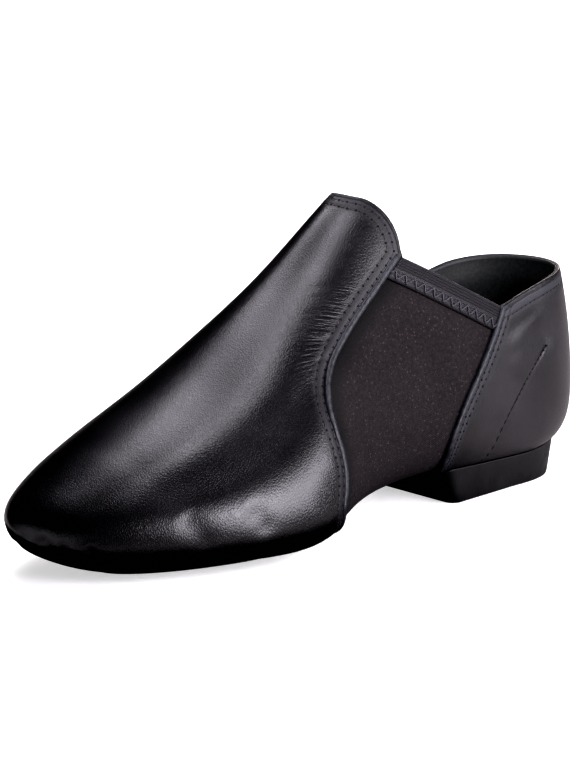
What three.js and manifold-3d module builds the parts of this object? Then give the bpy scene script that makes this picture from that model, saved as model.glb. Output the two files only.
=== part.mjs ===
// A left slip-on jazz shoe: leather vamp and quarter over a stretch bootee, elastic collar tapes,
// a thin forefoot sole pad and a low heel block, standing empty on a floor.
//
// Millimetres, +X towards the toe, +Y towards the little toe (lateral), +Z up.
// The origin is on the floor, under the middle of the heel.

import * as THREE from "three";
import { mergeVertices } from "three/addons/utils/BufferGeometryUtils.js";
import Module from "manifold-3d";

const wasm = await Module();
wasm.setup();

// Driving sizes of the last, the form that the shoe is made on

const heelToToe = 216; // from the middle of the heel to the tip of the toe
const heelToBack = 34.8; // from the middle of the heel to the furthest point of its back
const ballWidth = 88;
const heelWidth = 60;
const instepHeight = 118; // floor to the top of the vamp's flap
const toeHeight = 17; // height of the foremost point of the toe
const toeRoundLength = 66; // length over which the plan outline closes round the toes
const toeDropLength = 31; // length over which the toe closes from above and below
const toeRoundPower = 2.2;
const toeDropPower = 2;

// Thicknesses, clearances and small parts

const gap = 0.3; // between pieces that touch in the real shoe
const leather = 1.2;
const booteeWall = 1.5;
const bindingWidth = 2.4; // rolled edge along the leather
const bindingProud = 0.5; // how far the rolled edge stands above the leather
const tapeWidth = 9.5;
const tapeThickness = 0.9;
const insoleThickness = 1.8;
const insoleRim = 5; // how far the insole's edge climbs the wall
const padThickness = 1.6;
const padPress = 0.3; // how far the pad is worn flat, which makes its flat spot
const heelHeight = 10.8; // floor to the seat, under the middle of the heel

// Forefoot sole pad, in plan
const padLength = 84;
const padSetback = 28; // from the tip of the toe
const padShare = 0.48; // share of the last's width that it covers
const padEndPower = 2.2;

// Heel block, in plan
const blockFront = 38; // middle of the heel to the breast, on the floor
const blockBack = 27.8;
const blockFrontWidth = 43;
const blockMiddleWidth = 38;
const blockCornerRadius = 4;
const blockBackPower = 2.5;
const breastLean = 8; // how much further forward the breast is at the block's top
const sideFlare = 3.4; // how much further out each side is at the top
const backFlare = 0.9;
const blockBevel = 0.6;
const seatRise = 6.7; // how far the block's rim reaches over the middle of the seat

// Openings underneath, which the pad and the block close
const lastedMargin = 8; // leather and lining turned in under the foot
const openingClimb = 6; // how much the floor of the shoe climbs across an opening

// Collar and panel edges, as seen from the side

const tapeFrontX = 63.6; // where the tape leaves the vamp
const tapeFrontZ = 96.8;
const tapeRearX = 20.2; // where the tape meets the quarter
const tapeRearZ = 73.8;
const collarBackHeight = 82;
const flapTopX = 73.2; // top of the flap, on the ridge

// The last in plan, from heel to toe. reach is a share of heelToToe. ballness blends the heel's
// width into the ball's, and lateral and medial are shares of that blend, on each side of centre.
// centre and ridge are shares of ballWidth, to the lateral side.
const planSections = [
  { reach: 0.0, ballness: 0, lateral: 0.5, medial: 0.485, centre: 0.02, ridge: -0.005 },
  { reach: 0.162, ballness: 0, lateral: 0.5, medial: 0.47, centre: 0.017, ridge: -0.018 },
  { reach: 0.324, ballness: 0, lateral: 0.522, medial: 0.468, centre: 0.017, ridge: -0.044 },
  { reach: 0.463, ballness: 0.35, lateral: 0.55, medial: 0.475, centre: 0.02, ridge: -0.07 },
  { reach: 0.579, ballness: 1, lateral: 0.52, medial: 0.452, centre: 0.034, ridge: -0.078 },
  { reach: 0.694, ballness: 1, lateral: 0.508, medial: 0.488, centre: 0.018, ridge: -0.083 },
  { reach: 0.81, ballness: 1, lateral: 0.46, medial: 0.474, centre: -0.02, ridge: -0.086 },
  { reach: 0.926, ballness: 1, lateral: 0.42, medial: 0.44, centre: -0.053, ridge: -0.105 },
  { reach: 1.0, ballness: 1, lateral: 0.398, medial: 0.405, centre: -0.074, ridge: -0.124 },
];

// The same sections from the side. lift is a share of the seat's rise over the forefoot. girth, the
// height of the widest line, and crown, the height of the ridge, are shares of instepHeight.
// dome and base are the powers of a section's upper and lower half, where 2 is an ellipse.
const sideSections = [
  { reach: 0.0, lift: 1, girth: 0.34, crown: 1.145, dome: 1.82, base: 3.2 },
  { reach: 0.162, lift: 1, girth: 0.322, crown: 1.163, dome: 1.88, base: 3.1 },
  { reach: 0.324, lift: 0.9, girth: 0.294, crown: 1.022, dome: 1.87, base: 2.8 },
  { reach: 0.463, lift: 0.5, girth: 0.245, crown: 0.806, dome: 1.83, base: 2.8 },
  { reach: 0.579, lift: 0.04, girth: 0.183, crown: 0.648, dome: 1.9, base: 2.95 },
  { reach: 0.694, lift: 0, girth: 0.153, crown: 0.505, dome: 2, base: 2.7 },
  { reach: 0.81, lift: 0, girth: 0.149, crown: 0.391, dome: 2.1, base: 2.6 },
  { reach: 0.926, lift: 0.12, girth: 0.148, crown: 0.292, dome: 2.2, base: 2.4 },
  { reach: 1.0, lift: 0.3, girth: 0.143, crown: 0.268, dome: 2.3, base: 2.3 },
];

// The vamp's free edge below the tape. reach is a share of heelToToe, height of instepHeight.
const vampEdge = [
  { reach: 0.355, height: 0.731 },
  { reach: 0.403, height: 0.664 },
  { reach: 0.448, height: 0.6 },
  { reach: 0.484, height: 0.545 },
  { reach: 0.507, height: 0.492 },
  { reach: 0.519, height: 0.439 },
  { reach: 0.522, height: 0.38 },
  { reach: 0.521, height: 0.32 },
  { reach: 0.522, height: 0.26 },
  { reach: 0.529, height: 0.205 },
  { reach: 0.537, height: 0.155 },
  { reach: 0.533, height: 0.1 },
  { reach: 0.51, height: 0.045 },
  { reach: 0.47, height: -0.01 },
];

// The flap's rim from the tape up to the ridge. back is how far behind the flap's top the rim is, a
// share of the top's lead over the tape, and height is a share of its rise over the tape.
const flapRim = [
  { back: 1.03, height: 0.1 },
  { back: 1.06, height: 0.38 },
  { back: 0.9, height: 0.67 },
  { back: 0.51, height: 0.91 },
  { back: 0, height: 1 },
  { back: -0.83, height: 1.17 },
  { back: -2.3, height: 1.42 },
];

// The quarter's front edge below the tape. reach is a share of heelToToe, height of tapeRearZ.
const quarterEdge = [
  { reach: 0.118, height: 0.88 },
  { reach: 0.148, height: 0.75 },
  { reach: 0.176, height: 0.635 },
  { reach: 0.202, height: 0.525 },
  { reach: 0.222, height: 0.42 },
  { reach: 0.233, height: 0.325 },
  { reach: 0.233, height: 0.24 },
  { reach: 0.22, height: 0.17 },
  { reach: 0.19, height: 0.1 },
  { reach: 0.15, height: -0.05 },
];

// The quarter's top edge. reach is a share of the way from the tape's rear end to the heel's back,
// and rise is a share of the collar's rise over that end.
const quarterTop = [
  { reach: 0.08, rise: 0.12 },
  { reach: 0.2, rise: 0.36 },
  { reach: 0.34, rise: 0.59 },
  { reach: 0.5, rise: 0.8 },
  { reach: 0.75, rise: 0.97 },
  { reach: 1, rise: 1 },
  { reach: 1.5, rise: 1.02 },
];

// How finely the last is divided
const frontStations = 24; // toe to the middle of the heel
const heelStations = 8; // round the back of the heel
const halfRound = 12; // from the bottom to the top, on each side
const lineSteps = 2; // between two rows of a panel's edge
const cornerSteps = 3; // round a corner of the heel block
const backSteps = 10; // round half of the heel block's back
const padSteps = 18; // along each side of the pad
const insoleSteps = 24; // along the insole's rim

// A smooth function through the points (xs, ys): a natural cubic spline
function spline(xs, ys) {
  const n = xs.length;
  const bend = new Array(n).fill(0);
  const carried = new Array(n).fill(0);
  for (let i = 1; i < n - 1; i++) {
    const before = xs[i] - xs[i - 1];
    const after = xs[i + 1] - xs[i];
    const turn = (ys[i + 1] - ys[i]) / after - (ys[i] - ys[i - 1]) / before;
    const pivot = 2 * (before + after) - before * carried[i - 1];
    carried[i] = after / pivot;
    bend[i] = (6 * turn - before * bend[i - 1]) / pivot;
  }
  for (let i = n - 2; i > 0; i--) bend[i] -= carried[i] * bend[i + 1];
  return (x) => {
    let i = 0;
    while (i < n - 2 && x > xs[i + 1]) i++;
    const span = xs[i + 1] - xs[i];
    const a = (xs[i + 1] - x) / span;
    const b = 1 - a;
    const curve = (a ** 3 - a) * bend[i] + (b ** 3 - b) * bend[i + 1];
    return a * ys[i] + b * ys[i + 1] + (curve * span * span) / 6;
  };
}

// A smooth function of x through one value of each of a table's rows
function column(table, value) {
  return spline(
    table.map((row) => row.reach * heelToToe),
    table.map(value),
  );
}

const blendWidth = (row) => heelWidth + (ballWidth - heelWidth) * row.ballness;
const seatHeight = padThickness + gap - padPress; // the forefoot's lowest outside height
const curves = {
  lateral: column(planSections, (row) => row.lateral * blendWidth(row)),
  medial: column(planSections, (row) => row.medial * blendWidth(row)),
  centre: column(planSections, (row) => row.centre * ballWidth),
  ridge: column(planSections, (row) => row.ridge * ballWidth),
  floor: column(sideSections, (row) => seatHeight + row.lift * (heelHeight - seatHeight)),
  girth: column(sideSections, (row) => row.girth * instepHeight),
  crown: column(sideSections, (row) => row.crown * instepHeight),
  dome: column(sideSections, (row) => row.dome),
  base: column(sideSections, (row) => row.base),
};

// 1 behind the last stretch of the given length, falling to 0 at the tip like a superellipse
function closing(x, length, power) {
  const t = THREE.MathUtils.clamp((x - heelToToe + length) / length, 0, 1);
  return (1 - t ** power) ** (1 / power);
}

// The sizes of the section at x, with the toe's closing worked in
function sectionAt(x) {
  const plan = closing(x, toeRoundLength, toeRoundPower);
  const drop = closing(x, toeDropLength, toeDropPower);
  const height = (name) => toeHeight + (curves[name](x) - toeHeight) * drop;
  return {
    lateral: curves.lateral(x) * plan,
    medial: curves.medial(x) * plan,
    centre: curves.centre(x),
    ridge: curves.ridge(x),
    floor: height("floor"),
    girth: height("girth"),
    crown: height("crown"),
    dome: curves.dome(x),
    base: curves.base(x),
  };
}

// A point of the last's surface. station runs from 0 at the toe's tip to 1 at the middle of the
// heel, and on to 2 at the heel's back, where the sections fan round. rise runs from -1 under the
// foot to 1 on the ridge. side is 1 for lateral and -1 for medial.
function lastPoint(station, rise, side) {
  const x = heelToToe * Math.cos((Math.min(station, 1) * Math.PI) / 2);
  const section = sectionAt(x);
  const power = rise < 0 ? section.base : section.dome;
  const angle = (Math.abs(rise) * Math.PI) / 2;
  const out = Math.max(Math.cos(angle), 0) ** (2 / power);
  const up = Math.sin(angle) ** (2 / power);
  const z =
    rise < 0
      ? section.girth - (section.girth - section.floor) * up
      : section.girth + (section.crown - section.girth) * up;
  const turn = (Math.max(station - 1, 0) * Math.PI) / 2;
  const half = side > 0 ? section.lateral : section.medial;
  const climb = (z - section.floor) / Math.max(section.crown - section.floor, 1e-6);
  const middle = section.centre + (section.ridge - section.centre) * climb * climb * (3 - 2 * climb);
  return new THREE.Vector3(
    x - heelToBack * out * Math.sin(turn),
    middle + side * half * out * Math.cos(turn),
    z,
  );
}

// The outward direction at a point of the last's surface
function lastNormal(station, rise, side) {
  const step = 1e-3;
  const s = THREE.MathUtils.clamp(station, 2 * step, 2 - 2 * step);
  const r = THREE.MathUtils.clamp(rise, -1 + 2 * step, 1 - 2 * step);
  const along = lastPoint(s + step, r, side).sub(lastPoint(s - step, r, side));
  const round = lastPoint(s, r + step, side).sub(lastPoint(s, r - step, side));
  const normal = along.cross(round).multiplyScalar(side).normalize();
  if (Math.abs(rise) === 1) normal.setY(0);
  if (station === 0) normal.set(1, 0, 0);
  if (station === 2) normal.setY(0);
  return normal.normalize();
}

// The closed form of the last, grown outwards by offset, as a solid
function lastForm(offset) {
  const rows = frontStations + heelStations;
  const around = 2 * halfRound;
  const positions = [];
  for (let i = 0; i <= rows; i++) {
    const station = i <= frontStations ? i / frontStations : 1 + (i - frontStations) / heelStations;
    for (let k = 0; k < around; k++) {
      const side = k <= halfRound ? 1 : -1;
      const rise = side > 0 ? (2 * k) / halfRound - 1 : 3 - (2 * k) / halfRound;
      const point = lastPoint(station, rise, side);
      point.addScaledVector(lastNormal(station, rise, side), offset);
      positions.push(point.x, point.y, point.z);
    }
  }
  // The toe's tip is one point, the fan shares its top and bottom, and its two sides join at the back
  const id = (i, k) => {
    const turn = ((k % around) + around) % around;
    if (i === 0) return 0;
    if (i > frontStations && turn % halfRound === 0) return frontStations * around + turn;
    if (i === rows && turn > halfRound) return i * around + around - turn;
    return i * around + turn;
  };
  const faces = [];
  const face = (a, b, c) => {
    if (a !== b && b !== c && c !== a) faces.push(a, b, c);
  };
  for (let i = 0; i < rows; i++) {
    for (let k = 0; k < around; k++) {
      face(id(i, k), id(i + 1, k), id(i, k + 1));
      face(id(i + 1, k), id(i + 1, k + 1), id(i, k + 1));
    }
  }
  const geometry = new THREE.BufferGeometry();
  geometry.setAttribute("position", new THREE.Float32BufferAttribute(positions, 3));
  geometry.setIndex(faces);
  return solidOf(geometry);
}

// A closed geometry as a manifold solid
function solidOf(source) {
  const bare = new THREE.BufferGeometry();
  bare.setAttribute("position", source.getAttribute("position"));
  if (source.index) bare.setIndex(source.index);
  const merged = mergeVertices(bare, 1e-4);
  return new wasm.Manifold(
    new wasm.Mesh({
      numProp: 3,
      vertProperties: new Float32Array(merged.attributes.position.array),
      triVerts: new Uint32Array(merged.index.array),
    }),
  );
}

// A solid whose side view is the outline, right through the shoe
function sidePrism(points) {
  const shape = new THREE.Shape(points.map((p) => new THREE.Vector2(p.x, p.z)));
  const depth = 4 * ballWidth;
  const geometry = new THREE.ExtrudeGeometry(shape, { depth, bevelEnabled: false });
  geometry.rotateX(Math.PI / 2).translate(0, depth / 2, 0);
  return solidOf(geometry);
}

// A solid whose plan is the outline, from one height to another
function planPrism(points, low, high) {
  const shape = new THREE.Shape(points.map((p) => new THREE.Vector2(p.x, p.y)));
  const geometry = new THREE.ExtrudeGeometry(shape, { depth: high - low, bevelEnabled: false });
  return solidOf(geometry.translate(0, 0, low));
}

// A smooth open line through the points
function smoothLine(points) {
  const curve = new THREE.SplineCurve(points.map((p) => new THREE.Vector2(p.x, p.z)));
  return curve.getPoints(lineSteps * (points.length - 1)).map((p) => ({ x: p.x, z: p.y }));
}

// How far a point is from the nearest stretch of a line
function distanceToLine(point, line) {
  const stretches = line.slice(1).map((end, i) => {
    const start = line[i];
    const run = { x: end.x - start.x, z: end.z - start.z };
    const along = (point.x - start.x) * run.x + (point.z - start.z) * run.z;
    const t = THREE.MathUtils.clamp(along / (run.x ** 2 + run.z ** 2), 0, 1);
    return Math.hypot(point.x - start.x - t * run.x, point.z - start.z - t * run.z);
  });
  return Math.min(...stretches);
}

// The same line, moved sideways by distance: to the left of its direction when distance is positive.
// Points that a sharp bend would bring too near the line are left out.
function movedLine(line, distance) {
  const kept = 0.97; // share of the distance that a point has to keep
  return line
    .map((point, i) => {
      const before = line[Math.max(i - 1, 0)];
      const after = line[Math.min(i + 1, line.length - 1)];
      const length = Math.hypot(after.x - before.x, after.z - before.z);
      return {
        x: point.x - (distance * (after.z - before.z)) / length,
        z: point.z + (distance * (after.x - before.x)) / length,
      };
    })
    .filter((point) => distanceToLine(point, line) >= kept * Math.abs(distance));
}

// The lines of the collar and of the panels

const flapLead = flapTopX - tapeFrontX;
const flapRise = instepHeight - tapeFrontZ;
const rimLine = smoothLine([
  { x: tapeFrontX, z: tapeFrontZ },
  ...flapRim.map((row) => ({
    x: flapTopX - row.back * flapLead,
    z: tapeFrontZ + row.height * flapRise,
  })),
]);
const vampLine = smoothLine([
  ...vampEdge.map((row) => ({ x: row.reach * heelToToe, z: row.height * instepHeight })).reverse(),
  { x: tapeFrontX, z: tapeFrontZ },
]);
const quarterLine = smoothLine([
  ...quarterEdge.map((row) => ({ x: row.reach * heelToToe, z: row.height * tapeRearZ })).reverse(),
  { x: tapeRearX, z: tapeRearZ },
]);
const quarterTopLine = smoothLine([
  { x: tapeRearX, z: tapeRearZ },
  ...quarterTop.map((row) => ({
    x: tapeRearX - row.reach * (tapeRearX + heelToBack),
    z: tapeRearZ + row.rise * (collarBackHeight - tapeRearZ),
  })),
]);
const far = 3 * heelToToe; // well outside the shoe

// Everything over the collar
function collarCutter() {
  const rear = quarterTopLine.at(-1);
  return sidePrism([
    ...quarterTopLine.slice().reverse(),
    ...rimLine,
    { x: rimLine.at(-1).x, z: far },
    { x: rear.x, z: far },
  ]);
}

// Everything in front of the vamp's edge and under its rim, with the edge moved in by inset
function vampRegion(inset) {
  const edge = movedLine([...vampLine, ...rimLine.slice(1)], -inset);
  return sidePrism([
    ...edge,
    { x: far, z: edge.at(-1).z },
    { x: far, z: -far },
    { x: edge[0].x, z: -far },
  ]);
}

// Everything behind the quarter's front edge and under its top, with the edge moved in by inset
function quarterRegion(inset) {
  const edge = movedLine([...quarterLine, ...quarterTopLine.slice(1)], inset);
  return sidePrism([
    { x: edge[0].x, z: -far },
    ...edge,
    { x: -far, z: edge.at(-1).z },
    { x: -far, z: -far },
  ]);
}

// The band of a tape under the collar, between the vamp's edge and the quarter's
function tapeRegion() {
  const run = Math.hypot(tapeFrontX - tapeRearX, tapeFrontZ - tapeRearZ);
  const along = { x: (tapeFrontX - tapeRearX) / run, z: (tapeFrontZ - tapeRearZ) / run };
  const past = tapeWidth; // past both ends, where the panels trim it
  const start = { x: tapeRearX - along.x * past, z: tapeRearZ - along.z * past };
  const end = { x: tapeFrontX + along.x * past, z: tapeFrontZ + along.z * past };
  const down = { x: along.z * tapeWidth, z: -along.x * tapeWidth };
  return sidePrism([
    { x: start.x, z: start.z },
    { x: start.x + down.x, z: start.z + down.z },
    { x: end.x + down.x, z: end.z + down.z },
    { x: end.x, z: end.z },
  ])
    .subtract(vampRegion(-gap))
    .subtract(quarterRegion(-gap));
}

// The pad's plan outline, which follows the last, moved outwards by grow
function padOutline(grow) {
  const halfLength = padLength / 2;
  const middle = heelToToe - padSetback - halfLength;
  return [1, -1].flatMap((side) =>
    Array.from({ length: padSteps }, (_, i) => {
      const t = side * Math.cos((Math.PI * i) / padSteps);
      const x = middle + t * (halfLength + grow);
      const round = (1 - Math.abs(t) ** padEndPower) ** (1 / padEndPower);
      const section = sectionAt(x);
      const half = (side > 0 ? section.lateral : section.medial) * padShare + grow;
      return { x, y: section.centre + side * half * round };
    }),
  );
}

// The heel block's plan outline at a rise, from 0 on the floor to 1 at its top, moved outwards by grow
function blockOutline(rise, grow) {
  const front = blockFront + rise * breastLean + grow;
  const back = blockBack + rise * backFlare + grow;
  const frontHalf = blockFrontWidth / 2 + rise * sideFlare + grow;
  const middleHalf = blockMiddleWidth / 2 + rise * sideFlare + grow;
  const corner = blockCornerRadius;
  const slope = (frontHalf - middleHalf) / front;
  const half = [];
  for (let i = 0; i <= cornerSteps; i++) {
    const turn = (i / cornerSteps) * (Math.PI / 2);
    half.push({
      x: front - corner + corner * Math.cos(turn),
      y: frontHalf - slope * corner - corner + corner * Math.sin(turn),
    });
  }
  for (let i = 0; i <= backSteps; i++) {
    const turn = (i / backSteps) * (Math.PI / 2);
    half.push({
      x: -back * Math.sin(turn) ** (2 / blockBackPower),
      y: middleHalf * Math.max(Math.cos(turn), 0) ** (2 / blockBackPower),
    });
  }
  const other = half.slice(0, -1).reverse();
  return [...half, ...other.map((p) => ({ x: p.x, y: -p.y }))];
}

// A solid between plan outlines of equal count at rising heights
function loft(levels) {
  const count = levels[0].outline.length;
  const positions = levels.flatMap((level) => level.outline.flatMap((p) => [p.x, p.y, level.z]));
  const faces = [];
  for (let i = 0; i < levels.length - 1; i++) {
    for (let k = 0; k < count; k++) {
      const a = i * count + k;
      const b = i * count + ((k + 1) % count);
      faces.push(a, b, a + count, b, b + count, a + count);
    }
  }
  const top = (levels.length - 1) * count;
  for (let k = 1; k < count - 1; k++) {
    faces.push(0, k + 1, k);
    faces.push(top, top + k, top + k + 1);
  }
  const geometry = new THREE.BufferGeometry();
  geometry.setAttribute("position", new THREE.Float32BufferAttribute(positions, 3));
  geometry.setIndex(faces);
  return solidOf(geometry);
}

// The wall between two offsets of the last
function wall(inner, outer) {
  return lastForm(outer).subtract(lastForm(inner));
}

const booteeOutside = -leather - gap;
const booteeInside = booteeOutside - booteeWall;
const openingReach = openingClimb - booteeInside; // over the last's underside

// The hole that the pad closes, and the one that the heel block closes
const forefootOpening = planPrism(padOutline(-lastedMargin), 0, seatHeight + openingReach);
const heelOpening = planPrism(blockOutline(0.5, -lastedMargin), 0, heelHeight + openingReach);

// Where the pad and the heel block lie over the leather, which the rolled edges stop at
const padSpace = planPrism(padOutline(gap), 0, seatHeight + openingReach);
const blockSpace = planPrism(blockOutline(1, gap), 0, heelHeight + seatRise);

function makeUpper() {
  return wall(booteeInside, booteeOutside)
    .subtract(collarCutter())
    .subtract(forefootOpening)
    .subtract(heelOpening);
}

function makeVamp() {
  return wall(-leather, 0)
    .intersect(vampRegion(bindingWidth + gap))
    .subtract(forefootOpening);
}

function makeQuarter() {
  return wall(-leather, 0)
    .intersect(quarterRegion(bindingWidth + gap))
    .subtract(heelOpening);
}

function makeVampBinding() {
  const edge = vampRegion(0).subtract(vampRegion(bindingWidth));
  return wall(-leather, bindingProud).intersect(edge).subtract(padSpace);
}

function makeQuarterBinding() {
  const edge = quarterRegion(0).subtract(quarterRegion(bindingWidth));
  return wall(-leather, bindingProud).intersect(edge).subtract(blockSpace);
}

// The tape on one side: 1 is lateral and -1 is medial
function makeTape(side) {
  const inner = booteeOutside + gap;
  const across = planPrism(
    [
      { x: -far, y: 0 },
      { x: far, y: 0 },
      { x: far, y: side * far },
      { x: -far, y: side * far },
    ],
    0,
    far,
  );
  return wall(inner, inner + tapeThickness).intersect(tapeRegion()).intersect(across);
}

function makeInsole() {
  const outside = booteeInside - gap;
  const rim = Array.from({ length: insoleSteps + 1 }, (_, i) => {
    const x = heelToToe - ((heelToToe + heelToBack) * i) / insoleSteps;
    return { x, z: curves.floor(Math.max(x, 0)) - outside + insoleRim };
  });
  const under = sidePrism([{ x: -heelToBack, z: 0 }, { x: heelToToe, z: 0 }, ...rim]);
  return wall(outside - insoleThickness, outside).intersect(under);
}

function makeForefootPad() {
  const across = planPrism(padOutline(0), 0, seatHeight + openingReach);
  return wall(gap, gap + padThickness).intersect(across);
}

function makeHeelBlock() {
  const block = loft([
    { z: 0, outline: blockOutline(0, -blockBevel) },
    { z: blockBevel, outline: blockOutline(0, 0) },
    { z: heelHeight + seatRise, outline: blockOutline(1, 0) },
  ]);
  return block.subtract(lastForm(gap));
}

const materials = {
  leather: new THREE.MeshStandardMaterial({ color: 0x17161a, roughness: 0.38, metalness: 0 }),
  binding: new THREE.MeshStandardMaterial({ color: 0x2b2b30, roughness: 0.5, metalness: 0 }),
  stretch: new THREE.MeshStandardMaterial({ color: 0x2a2326, roughness: 0.92, metalness: 0 }),
  elastic: new THREE.MeshStandardMaterial({ color: 0x242327, roughness: 0.8, metalness: 0 }),
  lining: new THREE.MeshStandardMaterial({ color: 0x101211, roughness: 0.9, metalness: 0 }),
  sole: new THREE.MeshStandardMaterial({ color: 0x1b1a1e, roughness: 0.85, metalness: 0 }),
};

const shoe = new THREE.Group();

// Adds a solid to the shoe as a named mesh
function add(name, solid, material) {
  const mesh = solid.getMesh();
  const geometry = new THREE.BufferGeometry();
  geometry.setAttribute("position", new THREE.Float32BufferAttribute(mesh.vertProperties, 3));
  geometry.setIndex(Array.from(mesh.triVerts));
  const node = new THREE.Mesh(geometry, materials[material]);
  node.name = name;
  shoe.add(node);
}

add("upper", makeUpper(), "stretch");
add("vamp", makeVamp(), "leather");
add("vamp_binding", makeVampBinding(), "binding");
add("quarter", makeQuarter(), "leather");
add("quarter_binding", makeQuarterBinding(), "binding");
add("tape_lateral", makeTape(1), "elastic");
add("tape_medial", makeTape(-1), "elastic");
add("insole", makeInsole(), "lining");
add("forefoot_pad", makeForefootPad(), "sole");
add("heel_block", makeHeelBlock(), "sole");

export default shoe;
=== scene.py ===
# %% [markdown]
# # A left jazz shoe, dressed in leather, stretch cloth and stitching
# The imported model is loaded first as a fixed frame. Its solids are plain, and its shape is right,
# so each soft piece is made again here on the same last, with a finer skin, and stands for its solid.

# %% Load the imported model
import math

import bmesh
import bpy
import numpy as np
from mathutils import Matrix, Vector


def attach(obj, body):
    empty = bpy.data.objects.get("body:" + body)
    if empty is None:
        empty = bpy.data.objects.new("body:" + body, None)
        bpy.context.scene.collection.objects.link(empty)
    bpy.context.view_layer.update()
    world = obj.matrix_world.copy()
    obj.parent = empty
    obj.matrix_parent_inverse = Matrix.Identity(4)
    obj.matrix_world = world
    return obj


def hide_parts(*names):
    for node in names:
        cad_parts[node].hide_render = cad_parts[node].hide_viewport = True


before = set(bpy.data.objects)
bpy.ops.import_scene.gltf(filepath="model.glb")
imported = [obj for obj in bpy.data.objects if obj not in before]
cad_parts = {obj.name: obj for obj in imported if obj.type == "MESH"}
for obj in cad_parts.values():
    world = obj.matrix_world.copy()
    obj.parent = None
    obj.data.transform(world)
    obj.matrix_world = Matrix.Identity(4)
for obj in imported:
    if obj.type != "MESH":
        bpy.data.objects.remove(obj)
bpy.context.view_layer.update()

# %% [markdown]
# ## The last
# A shoemaker pulls every layer over one last, so every layer here is one surface with its own
# offset. The last could be sculpted, but a function of two numbers gives each edge, seam and
# crease an exact place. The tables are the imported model's own, as shares of its named sizes.

# %% The last's sizes and tables, in millimetres
HEEL_TO_TOE, HEEL_TO_BACK = 216, 34.8
BALL_WIDTH, HEEL_WIDTH = 88, 60
INSTEP_HEIGHT, HEEL_HEIGHT, SEAT_HEIGHT = 118, 10.8, 1.6
TOE_HEIGHT = 17
TOE_ROUND_LENGTH, TOE_ROUND_POWER = 66, 2.2
TOE_DROP_LENGTH, TOE_DROP_POWER = 31, 2

REACH = [0, 0.162, 0.324, 0.463, 0.579, 0.694, 0.81, 0.926, 1]
BALLNESS = [0, 0, 0, 0.35, 1, 1, 1, 1, 1]
LATERAL = [0.5, 0.5, 0.522, 0.55, 0.52, 0.508, 0.46, 0.42, 0.398]
MEDIAL = [0.485, 0.47, 0.468, 0.475, 0.452, 0.488, 0.474, 0.44, 0.405]
CENTRE = [0.02, 0.017, 0.017, 0.02, 0.034, 0.018, -0.02, -0.053, -0.074]
RIDGE = [-0.005, -0.018, -0.044, -0.07, -0.078, -0.083, -0.086, -0.105, -0.124]
LIFT = [1, 1, 0.9, 0.5, 0.04, 0, 0, 0.12, 0.3]
GIRTH = [0.34, 0.322, 0.294, 0.245, 0.183, 0.153, 0.149, 0.148, 0.143]
CROWN = [1.145, 1.163, 1.022, 0.806, 0.648, 0.505, 0.391, 0.292, 0.268]
DOME = [1.82, 1.88, 1.87, 1.83, 1.9, 2, 2.1, 2.2, 2.3]
BASE = [3.2, 3.1, 2.8, 2.8, 2.95, 2.7, 2.6, 2.4, 2.3]


def spline(xs, ys):
    """A smooth function through the points: a natural cubic spline."""
    xs, ys = np.array(xs, float), np.array(ys, float)
    n, h = len(xs), np.diff(xs)
    matrix, right = np.eye(n), np.zeros(n)
    for i in range(1, n - 1):
        matrix[i, i - 1 : i + 2] = h[i - 1], 2 * (h[i - 1] + h[i]), h[i]
        right[i] = 6 * ((ys[i + 1] - ys[i]) / h[i] - (ys[i] - ys[i - 1]) / h[i - 1])
    bend = np.linalg.solve(matrix, right)

    def at(x):
        i = np.clip(np.searchsorted(xs, x) - 1, 0, n - 2)
        a = (xs[i + 1] - x) / h[i]
        b = 1 - a
        return a * ys[i] + b * ys[i + 1] + ((a**3 - a) * bend[i] + (b**3 - b) * bend[i + 1]) * h[i] ** 2 / 6

    return at


def column(shares, size=1.0):
    return spline(np.array(REACH) * HEEL_TO_TOE, np.array(shares) * np.array(size))


WIDTHS = HEEL_WIDTH + (BALL_WIDTH - HEEL_WIDTH) * np.array(BALLNESS)
FLOORS = SEAT_HEIGHT + np.array(LIFT) * (HEEL_HEIGHT - SEAT_HEIGHT)
curve = {
    "lateral": column(LATERAL, WIDTHS),
    "medial": column(MEDIAL, WIDTHS),
    "centre": column(CENTRE, BALL_WIDTH),
    "ridge": column(RIDGE, BALL_WIDTH),
    "floor": column(FLOORS),
    "girth": column(GIRTH, INSTEP_HEIGHT),
    "crown": column(CROWN, INSTEP_HEIGHT),
    "dome": column(DOME),
    "base": column(BASE),
}

# %% A point and a direction anywhere on the last


def closing(x, length, power):
    """1 behind the last stretch of the toe, falling to 0 at its tip."""
    t = np.clip((x - HEEL_TO_TOE + length) / length, 0, 1)
    return (1 - t**power) ** (1 / power)


def section(x):
    x = np.clip(x, 0, HEEL_TO_TOE)
    plan = closing(x, TOE_ROUND_LENGTH, TOE_ROUND_POWER)
    drop = closing(x, TOE_DROP_LENGTH, TOE_DROP_POWER)
    sizes = {name: at(x) for name, at in curve.items()}
    for name in ("lateral", "medial"):
        sizes[name] = sizes[name] * plan
    for name in ("floor", "girth", "crown"):
        sizes[name] = TOE_HEIGHT + (sizes[name] - TOE_HEIGHT) * drop
    return sizes


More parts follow.
